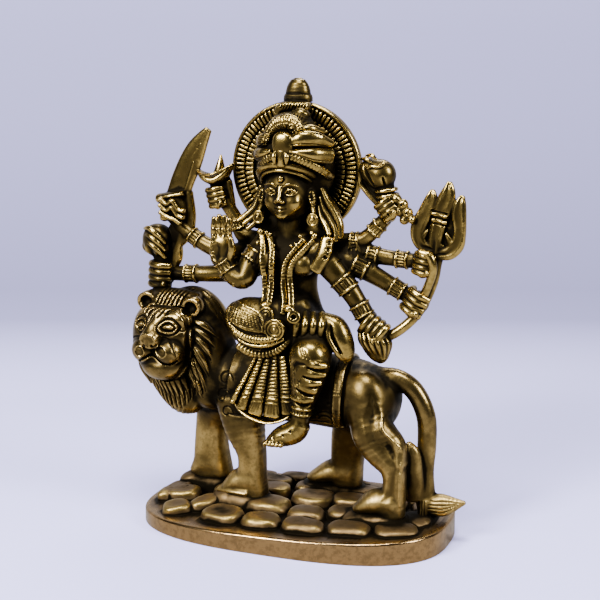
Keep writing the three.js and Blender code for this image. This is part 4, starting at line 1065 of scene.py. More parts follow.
def fist(at, size, turn, thumb=-1):
    """A closed hand round a bar at an angle in the front view. Thumb is +1 or -1 along the bar."""
    bar = np.array([cos(radians(turn)), 0, sin(radians(turn))])
    over = np.array([-bar[2], 0, bar[0]])
    here = np.array(at, float)
    goddess.add(lump(here + [0, 0.16 * size, 0], (size * 0.8, size * 0.62, size * 0.86), turn - 90), 0.6)
    for k in range(4):
        middle = here + bar * size * (0.45 * k - 0.68)
        finger = [
            [*(middle + over * size * 0.74 + [0, 0.3 * size, 0]), size * 0.23],
            [*(middle + over * size * 0.72 - [0, 0.34 * size, 0]), size * 0.26],
            [*(middle - [0, 0.66 * size, 0]), size * 0.26],
            [*(middle - over * size * 0.66 - [0, 0.42 * size, 0]), size * 0.22],
        ]
        goddess.add(roll(finger, 4), 0.3)
    tip = here + bar * size * 0.8 * thumb
    thumb_roll = [
        [*(tip + over * size * 0.5 + [0, 0.2 * size, 0]), size * 0.26],
        [*(tip - [0, 0.52 * size, 0]), size * 0.27],
        [*(tip - over * size * 0.45 - bar * size * 0.3 * thumb - [0, 0.78 * size, 0]), size * 0.22],
    ]
    goddess.add(roll(thumb_roll, 4), 0.3)


# %% Her right arms
# raised palm
PALM_ARM = [[-14, 0, 129, 6, 5.4], [-20, -5, 120, 5.3, 5], [-22.4, -8, 113.4, 4.8, 4.6],
            [-28, -8.6, 115.2, 4.4, 4.2], [-32, -8.6, 120.6, 3.8, 3.6]]
arm(PALM_ARM, [(0.28, 4.2, 0.8), (0.92, 4.2, 0.9)], 2)
goddess.add(lump([-32.8, -8.2, 124.8], (5.5, 3.3, 7.6), square=2.5), 1)
for i in range(4):
    tall = 9.4 - 1.1 * abs(i - 1.4)
    goddess.add(roll([[-36.4 + 2.5 * i, -8.4, 129, 1.35], [-36.3 + 2.5 * i, -9, 131.5 + tall / 2, 1.3],
                      [-36.0 + 2.45 * i, -8.8, 131.8 + tall, 1.15]], 4), 0.25)
goddess.add(roll([[-28.6, -9.4, 121.6, 1.9], [-26.6, -11.2, 126.4, 1.7],
                  [-27.2, -11.4, 131.4, 1.3]], 4), 0.4)
# sabre arm, mace arm and bowl arm
SABRE_ARM = [[-15, 4, 127, 4.6, 4], [-33, 5, 122, 4.3, 4], [-46, 5, 124.8, 3.7, 3.5],
             [-57.6, 5, 132, 3.2, 3.2], [-63, 4.6, 137.6, 3.2, 3.2]]
arm(SABRE_ARM, [(0.72, 4.2, 0.9), (0.4, 3, 0.7)])
goddess.add(lump([-61.4, 4.2, 141], (6.4, 4.4, 7), 20), 0.8)
MACE_ARM = [[-14, 2, 121, 5, 4.4], [-27, 3, 114.6, 4.6, 4.3], [-43, 5, 111.9, 3.9, 3.7],
            [-62, 5, 110.8, 3.4, 3.3]]
arm(MACE_ARM, [(0.84, 5, 0.9), (0.36, 3, 0.7)])
fist((-67.4, 3.4, 110.4), 6.8, 86)
BOWL_ARM = [[-16, 5, 128, 4.4, 3.8], [-28, 6, 130, 3.8, 3.4], [-32.4, 6, 138, 3.1, 3.1],
            [-37, 6, 144.6, 3.1, 3]]
arm(BOWL_ARM, [(0.62, 3.6, 0.8)])
fist((-39.6, 4.2, 147.4), 5.3, 104)

# %% Her left arms
CONCH_ARM = [[8, 4, 128, 5, 4], [20, 5, 130.4, 3.7, 3.6], [29, 5, 132.2, 3.3, 3.2], [38, 5, 141, 3.1, 3.1]]
arm(CONCH_ARM, [(0.84, 4, 0.9), (0.5, 3, 0.7)])
fist((40.2, 3.6, 146), 5.2, 128)
TRIDENT_ARM = [[8, 3, 124, 5, 4], [23, 5, 126.4, 4.3, 4], [38, 6, 124.3, 3.5, 3.4],
               [53, 6, 123.4, 3.2, 3.2]]
arm(TRIDENT_ARM, [(0.84, 4.6, 0.9), (0.55, 4, 0.8)])
fist((56.8, 4, 123), 5.6, 80)
BOW_ARM = [[8, 1, 123, 5.6, 5], [22, 2, 122, 4.8, 4.5], [34, 3.4, 116.6, 4.1, 3.9],
           [49, 4.4, 108.6, 3.3, 3.3]]
arm(BOW_ARM, [(0.46, 5.4, 0.9), (0.88, 5, 1.0)])
fist((53.6, 3, 106), 6.2, 62)
LOTUS_ARM = [[9, -3, 127, 6, 5], [17.6, -3, 118.6, 5.4, 4.9], [26.4, -2, 108, 4.3, 4.1],
             [33.4, -2, 96.6, 3.8, 3.6]]
arm(LOTUS_ARM, [(0.5, 5.4, 0.9), (0.84, 4.8, 1.0)])
fist((35.8, -2, 94), 6, -36, thumb=1)
# strap over the front shoulder with three drilled dots
goddess.add(roll([[15.4, -4.6, 132, 2.9, 2.6], [14.6, -6.6, 126, 3, 2.4],
                  [11.2, -7.6, 119.6, 3, 2.4]], 4, square=3), 0.6)

# %% [markdown]
# Her legs are hidden in cloth. The folded leg is one smooth swell with toothed borders laid over it, the
# other leg hangs with its cloth in stacked folds, and between them a skirt end opens in a fan.

# %% Legs and dress
goddess.add(roll([[4, -2, 96, 11.4, 9.6], [-6, -7.6, 93.6, 12.6, 10], [-14, -10, 93.6, 12.8, 10],
                  [-21.6, -11, 97, 9.6, 8.6], [-26.4, -11.4, 99.6, 4.4, 5]], 5), 1.6)


def on_thigh(x, z):
    """A place on the folded thigh's front, at x and z."""
    u, w = (x + 12.6) / 15.4, (z - 93.8) / 13.4
    return [x, -10 - 10.6 * sqrt(max(1 - 0.9 * (u * u + w * w), 0.02)), z]


BORDERS = [
    ([(-25.4, 95), (-21.4, 91.8), (-15.6, 89.6), (-9, 89), (-4.4, 89.6)], 1.5),
    ([(-20.6, 88.6), (-16, 86.8), (-11, 86.2), (-5.6, 87.2), (-0.6, 89.6)], 0.9),
    ([(-22, 84.8), (-17, 82.2), (-11, 81.4), (-4.6, 83.6), (0, 87.6), (3.4, 91.6)], 1.8),
]
for points, radius in BORDERS:
    goddess.add(roll([[*on_thigh(x, z), radius, radius * 0.8] for x, z in points], 6), 0.4)
LEG = [[2, 0, 93, 10.4, 9.4], [9.6, -9, 85.8, 9, 8.4], [11, -14, 80, 9, 7.8], [9.8, -15.4, 70, 7, 6.6],
       [8.4, -16.4, 61, 4.6, 5], [7.4, -16.8, 54, 3.6, 4.2]]
goddess.add(roll(LEG, 6), 1.4)
goddess.add(lump([10.8, -15.8, 82.6], (8.4, 6.4, 7.6)), 1.6)
# scalloped folds down the shin
for x0, z0, x1, z1 in ((12.4, 79.6, 19.2, 78.2), (10.6, 75.4, 18.6, 74.2), (10.4, 71.4, 16.8, 70.4),
                       (7.2, 69.6, 14.6, 66.4), (5.8, 63.6, 13, 62.6)):
    goddess.add(roll([[x0 - 1, -19.6, z0 + 1.6, 1, 1], [(x0 + x1) / 2, -21, z0 + 1, 1.7, 1.4],
                      [x1 + 0.6, -18.6, z1 + 1.8, 1.2, 1.2]], 4), 1.2)
    goddess.cut(roll([[x0, -22, z0, 0.4, 1.2], [(x0 + x1) / 2 + 1, -22.4, (z0 + z1) / 2 - 0.8, 0.95, 2.6],
                      [x1, -19.6, z1, 0.6, 1.8]], 4), 0.4)
# foot with toes
goddess.add(roll([[7.6, -16.6, 52.4, 4.6, 5], [4.8, -17.2, 48.8, 5.3, 5.4], [-1, -18, 46.2, 4.6, 5.2],
                  [-5.4, -18.4, 43.8, 2.8, 4.8]], 4), 1.2)
for i in range(5):
    goddess.add(lump([-6.8 + 1.9 * i, -21.6 - 0.2 * i, 43.6 + 0.1 * i], (1.1, 2.6, 1.4)), 0.25)
band(LEG, 0.9, 2.6, 0.8)

# %% The fan of pleats
# where one flat pleat ends and the next begins, at the top and at the hem
FAN_TOPS = [-14.8, -12.6, -9.7, -6.6, -3.6, 0.2]
FAN_HEMS = [-26.2, -22.9, -17.6, -10.0, -1.5, 5.8]
FAN_HIGH, FAN_ENDS = 81, [59, 57, 55.2, 54.8, 56.8]
PLEATS = []
for k, end in enumerate(FAN_ENDS):
    pleat = []
    for t, depth in ((0, -13), (0.36, -14.6), (0.72, -15.6), (1, -16)):
        left, right = (FAN_TOPS[k + i] * (1 - t) + FAN_HEMS[k + i] * t for i in (0, 1))
        pleat.append([(left + right) / 2, depth, FAN_HIGH + (end - FAN_HIGH) * t,
                      (right - left) / 2 - 0.3, 2.5])
    PLEATS.append(pleat)
    goddess.add(roll(pleat, 5, cap=0.3, square=3.4), 0.12)
goddess.add(roll([[-5, -10, 82, 6.6, 4.4], [-7.6, -11.4, 70, 10.4, 4.2],
                  [-10, -12.6, 58, 13.6, 3.4]], 5, cap=0.3), 0.5)
goddess.add(roll([[-25.2, -14, 60, 0.9, 2], [-20.6, -15.6, 55.6, 0.9, 2.6], [-15, -16.4, 53, 0.9, 2.8],
                  [-8, -16.8, 51.8, 0.9, 2.8], [-1, -16.4, 53.4, 0.9, 2.6],
                  [5.4, -14.6, 57.6, 0.9, 2]], 6), 0.5)
# gathered sash over the hip, with a folded end
for i, x in enumerate((4.4, 8, 11.6, 15)):
    goddess.add(roll([[x - 0.8, -10 + 0.6 * i, 100.4, 1.3, 1.6], [x + 0.6, -14.4 + 0.8 * i, 96.4, 1.8, 2.2],
                      [x, -14.6 + 0.8 * i, 91.6, 1.3, 1.8]], 4), 0.3)
goddess.add(lump([10, -7, 95.6], (10.4, 6.4, 5.4)), 1)
goddess.add(roll([[15.4, -8, 98.8, 2.4, 3], [20.4, -7.6, 95.2, 4.6, 4.8], [22.8, -7.6, 89, 5.4, 5.4],
                  [24.8, -7, 83.4, 4.2, 4.2], [25.2, -6, 80, 1.6, 2]], 5), 1)
goddess.cut(roll([[19.4, -12.4, 96.4, 0.5, 1.8], [21, -13.2, 90.6, 1, 2.6],
                  [24, -11.4, 84.4, 0.8, 1.8]], 5), 0.5)
goddess.add(roll([[17.4, -11, 96.8, 0.8], [18.8, -12.2, 90.8, 1.1], [22.2, -11.8, 84.8, 1.2],
                  [24, -9.8, 81.2, 0.8]], 5), 0.4)

# %% Belt discs
for x, y, z, r, rings in ((-8.3, -16.6, 99.9, 3.6, 1), (-3.8, -18.4, 94.1, 4.7, 2)):
    goddess.add(roll([[x, y + 5, z, r], [x, y, z, r]], 1, cap=0.12), 0.4)
    for k in range(rings + 1):
        spread = r - 0.35 - 1.45 * k
        goddess.add(ring((x, y - 0.5, z), spread, spread, 0.5, 15), 0.15)
    goddess.add(lump([x, y - 0.4, z], (0.95, 1, 0.95)), 0.15)
goddess.add(roll([[2.4, -12, 98.6, 3], [4.2, -16.4, 99.8, 2.9]], 2, cap=0.14), 0.4)
goddess.cut(roll([[4.0, -17.6, 99.9, 1.1], [4.4, -14.4, 99.8, 1.1]], 2, cap=0.14), 0.2)

# %% [markdown]
# Her necklaces are double strands of short square beads. They start at the shoulders, meet between the
# breasts and hang to the belt. Each strand is one path for the bead tree.

# %% Bead strands
STRANDS = [
    [[-14.9, -5.4, 132.4], [-13.2, -8.6, 127.7], [-12.6, -10.8, 121.9], [-11.7, -10.6, 114.7],
     [-11.1, -11.6, 107.3], [-11.3, -14.4, 103]],
    [[-11.4, -5.4, 132.4], [-8.8, -8.8, 126.5], [-8.4, -10.8, 121.6], [-8.4, -10.6, 115.4],
     [-8.3, -11.6, 109.7], [-8.4, -14, 103.6]],
    [[8.8, -5.8, 131.6], [5.2, -9.4, 127], [1.7, -11, 122.4], [0.1, -10.8, 117.6], [0.6, -11, 112.4],
     [1.5, -12.4, 107], [2.2, -14.4, 102.6]],
    [[4.6, -6, 131.6], [0.3, -9, 126], [-2.3, -10, 121.4], [-3, -10, 116.4], [-2.8, -10.6, 111],
     [-1.6, -12.2, 105.8], [-1.4, -14.6, 100.6]],
]
for points in STRANDS:
    strand(goddess, points, 1.52, (2.5, 2.5, 1.25), boxy=0.55, blend=0.12)
# the ends are knotted to the belt
goddess.add(lumps([([-10, -14.6, 103.6], (2.6, 2, 1.6)), ([1.4, -15, 103], (2.6, 2, 1.6))]), 0.4)
# collar
strand(goddess, [[-14.6, -4.4, 134.4], [-9.6, -7.4, 133.2], [-4.8, -8.6, 131.2], [1, -7.6, 132.6],
                 [7, -5.4, 134.4], [10, -3.6, 135.6]], 2.5, (2.5, 2.5, 2.1), boxy=0.1)
strand(goddess, [[-11, -6.6, 130.6], [-7.6, -8.8, 128.9], [-4, -9.6, 127.9], [-0.2, -8.8, 129.2],
                 [3.6, -7.2, 131]], 1.9, (1.7, 1.7, 1.5), boxy=0.1)
goddess.add(lump([-3.9, -10.6, 126.6], (1.8, 1.3, 2.4)), 0.2)
# studs on the shoulders
for x, z in ((-15.6, 134.2), (9.6, 133.6), (-16.6, 129)):
    goddess.add(lump([x, -5.4, z], (1.5, 1.5, 1.5)), 0.3)
# a few beads hang at the elbow of the open hand
strand(goddess, [[-24.6, -9.6, 115.6], [-25.4, -12.2, 112.6], [-26, -11.6, 110.4]], 1.6,
       (1.5, 1.5, 1.3), boxy=0.2)

# %% [markdown]
# The lines of the dress are pressed in last: the lattice on the folded leg, ticks on its borders, the ticks
# and hem of the fan, and small marks where the wax was pricked.

# %% Lines on the dress
lines = Relief(goddess)
# the lattice: 13 lines down the thigh and 8 across them, with a raised edge
for k in range(13):
    a = (-26.6 + 1.32 * k, 104.8 - 0.52 * k)
    b = (-29.8 + 1.82 * k, 96.4 - 0.25 * k)
    start, stop = (max(a[0], -25.8), a[1] - 0.6), (max(b[0], -26.2), max(b[1], 92.9))
    lines.stroke([start, stop], 0.26, -0.32)
for k in range(8):
    t = k / 7
    lines.stroke([[-26.2 + 0.8 * t, 102.6 - 5.4 * t], [-17.8, 101.4 - 6.8 * t],
                  [-10.2 - 0.2 * t, 98.6 - 4.8 * t]], 0.24, -0.3)
lines.stroke([[-24.4, 105.2], [-17.6, 103.2], [-11.6, 101], [-9, 96.6], [-9.4, 92.8]], 0.5, 0.5)
# groove under the lattice, then ticks on the upper border
lines.stroke([[-26.4, 96.4], [-21, 93.6], [-15.5, 92], [-7.5, 91.6]], 0.8, -1.2, taper=0.6)
for k in range(15):
    x = -24.6 + 1.36 * k
    z = 94.6 - 5.4 * (1 - ((x + 5.4) / 19.4) ** 2)
    lines.stroke([[x - 0.3, z + 1.1], [x + 0.3, z - 1.2]], 0.3, -0.45)
lines.stroke([[-23.6, 91.2], [-17.6, 87.9], [-10.4, 87.4], [-3.4, 88.6]], 0.55, -0.7, taper=0.5)
lines.stroke([[-21.8, 87], [-16.6, 84.8], [-10.6, 84.2], [-4, 86], [1, 89.4]], 0.5, -0.7, taper=0.5)
# ticks on the lower border, square to it
TICK_REACH = 1.35
for k in range(17):
    a = radians(216 + 6.9 * k)
    x, z = -11.4 + 14.6 * cos(a), 94.2 + 12.7 * sin(a)
    u, w = TICK_REACH * cos(a), TICK_REACH * sin(a)
    lines.stroke([[x - u, z - w], [x + u, z + w]], 0.32, -0.45)
# the fan: ticks, a line across and a fine hem
for pleat in PLEATS:
    (top, _, high, top_half, _), (hem, _, low, hem_half, _) = pleat[0], pleat[-1]
    for k in range(11):
        t = 0.04 + 0.06 * k
        x, z = top + (hem - top) * t, high + (low - high) * t
        half = (top_half + (hem_half - top_half) * t) * 0.8
        lines.stroke([[x - half, z - 0.1 * half], [x + half, z + 0.1]], 0.34, -0.42)
    x, z, half = top + (hem - top) * 0.7, high + (low - high) * 0.7, top_half + (hem_half - top_half) * 0.7
    for drop, height in ((0, 0.4), (1.9, 0.3)):
        lines.stroke([[x - half, z - drop - 0.2], [x + half, z - drop]], 0.36, height)
    for k in range(5):
        u = (k - 2) * 0.4
        lines.stroke([[x + u * half, z - 2.6], [hem + u * hem_half, low + 1.2]], 0.2, -0.22)
# folds on the knee, a sunk patch below it and scratches down the shin
for k in range(3):
    lines.stroke([[8.2 + 1.5 * k, 87.6 - 0.5 * k], [10.6 + 1.5 * k, 84 - 0.5 * k]], 0.34, -0.4)
lines.area([(4.2, 80), (7.1, 82.7), (11.3, 81.8), (12.9, 80.3), (8.7, 79.2), (5.4, 76.9)], -0.8, 1.4)
chance = np.random.default_rng(21)
for k in range(26):
    x, z = chance.uniform(4, 10), chance.uniform(64, 79)
    lines.stroke([[x, z], [x + chance.uniform(-1.6, 1.6), z - chance.uniform(0.8, 2)]], 0.28, -0.32)
# drilled dots on the foot
for x, z in ((-2.6, 46.6), (1.6, 48.2), (4.8, 50.2), (-5.4, 44.4)):
    lines.dot((x, z), 0.6, -0.7)
lines.press(-30, -4)

# %% Dots, knuckles and pricks on arms and chest
lines = Relief(goddess)
for start, stop in TICKS:
    lines.stroke([start, stop], 0.36, -0.4, taper=0.3)
# the strap's drilled dots
for x, z in ((17.0, 131.4), (16.8, 128.6), (15.6, 125.2)):
    lines.dot((x, z), 1.05, -1.2)
# the open palm's hollow, its ball and the fingers' joints
lines.area([(-36.4, 128), (-33.4, 129.4), (-31.6, 127.4), (-31.8, 122.8), (-33.6, 120.6),
            (-35.8, 122.6)], -0.45, 1.2)
lines.stroke([[-36.6, 129.4], [-37.2, 125.4], [-35.4, 121.4], [-32.4, 119.8], [-29.6, 121]], 0.5, 0.4)
for i in range(4):
    x = -36.3 + 2.48 * i
    for z in (132.6, 135.6):
        lines.stroke([[x - 0.9, z], [x + 0.9, z]], 0.3, -0.35)
PRICKS = [(23.4, 127.4), (29.8, 125.4), (20.6, 123.2), (27, 119.6), (22.4, 114.6), (25.6, 109.8),
          (-24, 120.2), (-38.6, 122.4), (-30.4, 114.8), (-69.8, 113.4), (-64.8, 144.6), (41, 144),
          (59.4, 125), (33, 92.4)]
for x, z in PRICKS:
    lines.dot((x, z), 0.55, -0.6)
# navel and the lower edges of the breasts
lines.dot((-4.6, 106.6), 0.9, -0.8)
lines.stroke([[1.4, 117], [5, 115.6], [9.4, 117]], 0.5, -0.4, taper=0.6)
lines.stroke([[-7.6, 117], [-11.6, 115.8], [-16, 117.4]], 0.5, -0.4, taper=0.6)
lines.press(-24, 10)
cast("goddess_casting", goddess, 198000)

# %% [markdown]
# ## Head and crown
# The head is a casting's finest part, so its block of clay has smaller cells. The face is a plain, calm one
# on the usual proportions: eyes half way up the head, the nose's foot a third up the face, the mouth a
# third below that.

# %% The face
head = Clay((-36, -19, 126), (28, 17, 193), 0.26)
FACE = -4.4
CHIN, HAIRLINE = 140.4, 162.0
EYES = CHIN + 0.56 * (HAIRLINE - CHIN)
NOSE_FOOT = CHIN + (HAIRLINE - CHIN) / 3
MOUTH = CHIN + 0.215 * (HAIRLINE - CHIN)
head.add(lump([FACE, 0.6, 152], (10.8, 10.6, 12.6)), 1)
head.add(lump([FACE, -3.2, 146], (7.6, 6.8, 6)), 2.4)
head.add(roll([[FACE, 1, 134, 5, 5], [FACE, 0, 142, 5.2, 5.2]], 3), 2)
head.add(lumps([([FACE + side * 5, -6.6, NOSE_FOOT + 0.2], (3.2, 3, 3.2)) for side in (-1, 1)]), 2)
head.add(lump([FACE, -8.2, CHIN + 2], (2.6, 2.2, 1.9)), 1.4)
# hollows for the eyes, then lids and brows
head.cut(lumps([([FACE + side * 4.4, -12.2, EYES + 0.2], (3.4, 2.6, 2.2)) for side in (-1, 1)]), 1.2)
for side in (-1, 1):
    x = FACE + side * 4.4
    head.add(lump([x, -8.3, EYES], (2.3, 1.5, 1.2)), 0.3)
    lid = [[x - side * 2.4, -9.7, EYES - 0.5, 0.36], [x - side * 0.9, -10.2, EYES + 1.1, 0.42],
           [x + side * 1.1, -9.9, EYES + 1.1, 0.42], [x + side * 2.9, -8.5, EYES - 0.1, 0.34]]
    head.add(roll(lid, 5), 0.3)
    low = [[x - side * 2.3, -9.6, EYES - 0.6, 0.26], [x, -9.9, EYES - 1.35, 0.3],
           [x + side * 2.7, -8.6, EYES - 0.4, 0.26]]
    head.add(roll(low, 5), 0.3)
    brow = [[x - side * 2.9, -10.5, EYES + 2.4, 0.4], [x - side * 0.4, -10.5, EYES + 3.6, 0.46],
            [x + side * 3.4, -8.4, EYES + 2.6, 0.34]]
    head.add(roll(brow, 5), 0.5)
    head.add(lump([FACE + side * 1.5, -11, NOSE_FOOT + 0.8], (1.05, 1.2, 0.9)), 0.5)
head.add(roll([[FACE, -9.6, EYES + 2, 1, 1], [FACE, -11, EYES - 1.6, 0.95, 1.1],
               [FACE, -12.4, NOSE_FOOT + 1.3, 1.2, 1.2]], 5), 0.9)
# lips: an upper one with a bow, a fuller lower one, and a slight hollow under it
head.add(roll([[FACE - 2.7, -8.9, MOUTH + 0.5, 0.34], [FACE - 0.8, -10.3, MOUTH + 0.95, 0.52],
               [FACE, -10.4, MOUTH + 0.7, 0.48], [FACE + 0.8, -10.3, MOUTH + 0.95, 0.52],
               [FACE + 2.7, -8.9, MOUTH + 0.5, 0.34]], 5), 0.4)
head.add(roll([[FACE - 2.3, -9, MOUTH - 0.1, 0.36], [FACE, -10.2, MOUTH - 0.65, 0.7],
               [FACE + 2.3, -9, MOUTH - 0.1, 0.36]], 5), 0.4)
head.cut(roll([[FACE - 2.9, -9.4, MOUTH + 0.35, 0.14], [FACE, -11, MOUTH + 0.12, 0.18],
               [FACE + 2.9, -9.4, MOUTH + 0.35, 0.14]], 5), 0.25)
# round mark on the forehead
head.add(lump([FACE, -9.6, EYES + 5.6], (1.25, 1, 1.5)), 0.2)

# %% Ears and earrings
for side in (-1, 1):
    x = FACE + side * 11.6
    head.add(lump([x, -1, 149.4], (2, 2.9, 4.4), side * 8), 0.5)
    head.cut(lump([x + side * 0.3, -3.9, 150], (0.9, 1.2, 2.4), side * 8), 0.4)
    centre = np.array([FACE + side * 12.6, -4.2, 140.4])
    head.add(ring(centre, 2.1, 2.5, 0.62, 15), 0.2)
    head.add(lump(centre, (1.7, 0.8, 2.1)), 0.2)
    head.add(lump(centre - [0, 1, 0], (0.8, 0.8, 0.8)), 0.1)
    head.add(roll([[*(centre + [0, 1, 2.6]), 1.1], [x, -1, 146, 1.3]], 3), 0.3)
# hair at the temples, behind the ears
head.add(lumps([([FACE + side * 11, 4, 151], (3.4, 5.4, 8)) for side in (-1, 1)]), 1)

# %% [markdown]
# The crown is a tall wrapped one. A plain band crosses the forehead, a rope of cut pellets rises over it to
# a dome in front, big smooth gores bulge to both sides, and a plume curls over the top.

# %% The crown
head.add(lump([-3.4, 1.8, 168.4], (15.8, 11, 10.8)), 1.5)
head.add(lump([-4, 2.8, 177.6], (11.2, 8.6, 8.4)), 2)
# the crown's lower walls, which close the space to the halo
head.add(lumps([([7.4, 4.4, 160.4], (7.6, 7.4, 11)), ([-14, 5.4, 160], (6, 6.6, 11))]), 1.2)


def over_brow(reach, level, rise, forward):
    """A path round the front of the head, higher in the middle."""
    return [
        [FACE + reach * sin(a), 0.8 - forward * cos(a), level + rise * cos(a)]
        for a in np.linspace(-1.5, 1.5, 11)
    ]


for reach, level, rise, forward, size in ((12.2, 154.5, 7.2, 10.5, 0.75), (13.2, 156.9, 7.4, 10.9, 1.6)):
    head.add(roll([[*p, size, size * 0.95] for p in over_brow(reach, level, rise, forward)], 3), 0.15)
strand(head, over_brow(11.5, 153.1, 7.1, 10.4), 1.15, (0.9, 0.9, 0.9), boxy=0.0, blend=0.1)
ROPES = [
    [[-1.2, -10.8, 168.6], [4.2, -10.6, 167], [9.4, -8, 164.4], [13.4, -3, 161], [14.4, 2, 158.6]],
    [[-7.2, -10.8, 168], [-12.1, -8.8, 165.4], [-15.6, -4.8, 162.6], [-17.4, 0, 160]],
]
for path in ROPES:
    head.add(roll([[*p, 1.7, 1.3] for p in path], 4), 0.15)
    strand(head, [[x, y - 0.9, z] for x, y, z in path], 1.5, (1.2, 2.8, 1.1), boxy=0.4, blend=0.1)
# smooth gores, wrapped from the front panel to the sides
GORES = [
    [[-8.4, -10.4, 169.8, 0.9, 1.4], [-12.6, -9, 168.6, 2.4, 1.9], [-16.6, -4.4, 167.6, 3, 2.2],
     [-18.8, 2, 167.2, 2.2, 2]],
    [[-10, -8.8, 177, 1, 1.3], [-13, -7, 174.4, 2.8, 2], [-16, -3, 172.4, 2.8, 2.1],
     [-18, 2, 171.6, 1.6, 1.8]],
    [[-0.6, -10.8, 169.9, 0.7, 1.4], [5.2, -10.6, 169.7, 1.7, 2], [10.8, -8, 168.6, 3.1, 2.2],
     [15.4, -1.6, 167.6, 3.4, 2.2]],
    [[0.8, -10.4, 174, 2.2, 1.6], [5.6, -9.6, 175.4, 3.3, 2.1], [10.8, -6.4, 175, 3.2, 2.1],
     [15, -0.6, 173, 2, 2]],
    [[3, -6.6, 179, 1.2, 1.6], [7.2, -3.8, 179.4, 1.8, 2], [11, 1, 178, 1.2, 1.6]],
]
for path in GORES:
    head.add(roll(path, 6), 0.25)
# front panel: a dome on a stem between two leaf buds
head.add(lump([-2.8, -10.6, 173], (4.7, 2.4, 5.2), square=2.6), 0.2)
head.add(roll([[-3, -11.6, 169.8, 2.9, 1.5], [-3.2, -12, 166.6, 1.4, 1.2],
               [-3.3, -11.8, 164, 1.7, 1]], 4), 0.3)
for side in (-1, 1):
    head.add(roll([[-3.4 + side * 2.2, -12, 170.2, 0.5], [-3.4 + side * 2.9, -12.4, 167.6, 1.3, 1.2],
                   [-3.4 + side * 2.6, -12, 164.9, 0.5]], 5), 0.15)
# plume: a broad feather that sweeps up from the left and curls to an eye
PLUME = [[-12.2, -7, 172.6, 1.3, 1.4], [-10.4, -7, 177.6, 2.3, 1.9], [-6.6, -6.8, 181.2, 3.1, 2.2],
         [-1.4, -6.6, 182, 3.5, 2.4], [2, -6.8, 180, 3, 2.2], [1.4, -7.4, 176.6, 1.3, 1.5]]
head.add(roll(PLUME, 6), 0.3)
head.add(lump([-4.4, -3, 176.8], (7, 5, 5.6)), 1)
head.add(roll([[-1, 2.6, 181, 6, 5], [1, 3, 185.4, 3.6, 3.4]], 3), 1)

# %% Lappets: cloth that hangs from the crown behind the ears and spreads over the shoulders
LAPPETS = [
    [[11, 153.4], [13.4, 148.8], [17.2, 143.4], [20.0, 138.6], [20.4, 133]],
    [[10.4, 149.6], [12.4, 144.6], [15.8, 140.2], [18.2, 136], [18.6, 131.6]],
    [[9.8, 145.6], [11.4, 141], [14, 137.6], [16, 134]],
    [[-17.4, 153.4], [-18.6, 148.2], [-20, 144.2], [-23.6, 140.8], [-27.4, 138]],
    [[-16.6, 149.4], [-17.4, 144], [-20, 140.4], [-24.4, 137]],
    [[-15.6, 145.6], [-16.8, 140.6], [-19.4, 137.4], [-22.6, 134.6]],
]
for k, path in enumerate(LAPPETS):
    depths = np.linspace(1, -2 - 0.6 * (k % 3), len(path))
    head.add(roll([[x, y, z, 1.1 + 0.5 * sin(pi * i / (len(path) - 1)), 2] for i, ((x, z), y) in
                   enumerate(zip(path, depths))], 5), 0.35)
head.add(lumps([([12.8, 3, 142], (5.4, 2.6, 9.6), 22), ([-18.4, 3, 142.6], (4.6, 2.6, 9), -20),
                ([-14, 3.4, 136], (6.6, 3, 5.4), 0), ([9.4, 3.4, 135], (7.4, 3, 5.4), 0)]), 0.8)

# %% Lines on the crown
lines = Relief(head)
spine = spline([p[:3] for p in PLUME], 12)
for k in range(24):
    p, q = (spine[int(k / 23 * (len(spine) - 8)) + step] for step in (0, 3))
    run = unit([q[0] - p[0], q[2] - p[2]])
    side = np.array([-run[1], run[0]])
    here = np.array([p[0], p[2]])
    lines.stroke([here + side * 3 - 0.7 * run, here - side * 2.2 + 1.0 * run], 0.26, -0.42, taper=0.3)
# barbs of the plume end at its eye, which is rings round a pellet
EYE = (0.2, 179.6)
for radius, height in ((2.5, -0.5), (1.9, 0.3), (1.3, -0.4)):
    lines.dot(EYE, radius, height, hollow=0.72)
lines.dot(EYE, 0.7, 0.4)
lines.stroke([[p[0], p[2]] for p in PLUME], 0.42, -0.5)
for path in GORES:
    lines.stroke([[p[0], p[2] - 0.55 * p[3]] for p in path], 0.3, -0.4, taper=0.6)
# grooves on the ears, pupils, and a dent in the mark on the forehead
for side in (-1, 1):
    for k in range(4):
        z = 146.6 + 1.5 * k
        lines.stroke([[FACE + side * 10.6, z], [FACE + side * 13.4, z + 0.5]], 0.24, -0.3)
    lines.dot((FACE + side * 4.5, EYES + 0.1), 0.55, -0.5)
lines.dot((FACE, EYES + 5.6), 0.5, -0.4)
lines.press(-19, 4)
cast("head_casting", head, 170000)

# %% [markdown]
# ## Halo
# The halo is a flat disc with two rings of ribs, a thin rim and a bell-shaped knob. Its shape follows a
# rule, so the wheel tree lays the ribs: long flat ones outside, short round ones inside.

# %% The halo
halo = Clay((-40, 2, 127), (30, 21, 203), 0.3)
HALO_X, HALO_Y, HALO_Z, HALO_RADIUS = -5.1, 12.2, 159.9, 30.0
disc = [[HALO_X, HALO_Y + 2.2, HALO_Z, HALO_RADIUS], [HALO_X, HALO_Y - 1.4, HALO_Z, HALO_RADIUS - 0.5]]
halo.add(roll(disc, 1, cap=0.012), 0.3)
for radius, size in ((29.4, 0.9), (28.2, 0.35)):
    halo.add(ring((HALO_X, HALO_Y - 1.6, HALO_Z), radius, radius, size, 61), 0.2)
rib_wheel(halo, (HALO_X, HALO_Y - 1.9, HALO_Z), 84, 26.1, (4.6, 1.25, 3.0), boxy=0.85, blend=0.1)
rib_wheel(halo, (HALO_X, HALO_Y - 2.1, HALO_Z), 66, 21.4, (4.2, 1.55, 3.3), boxy=0.6, blend=0.1)
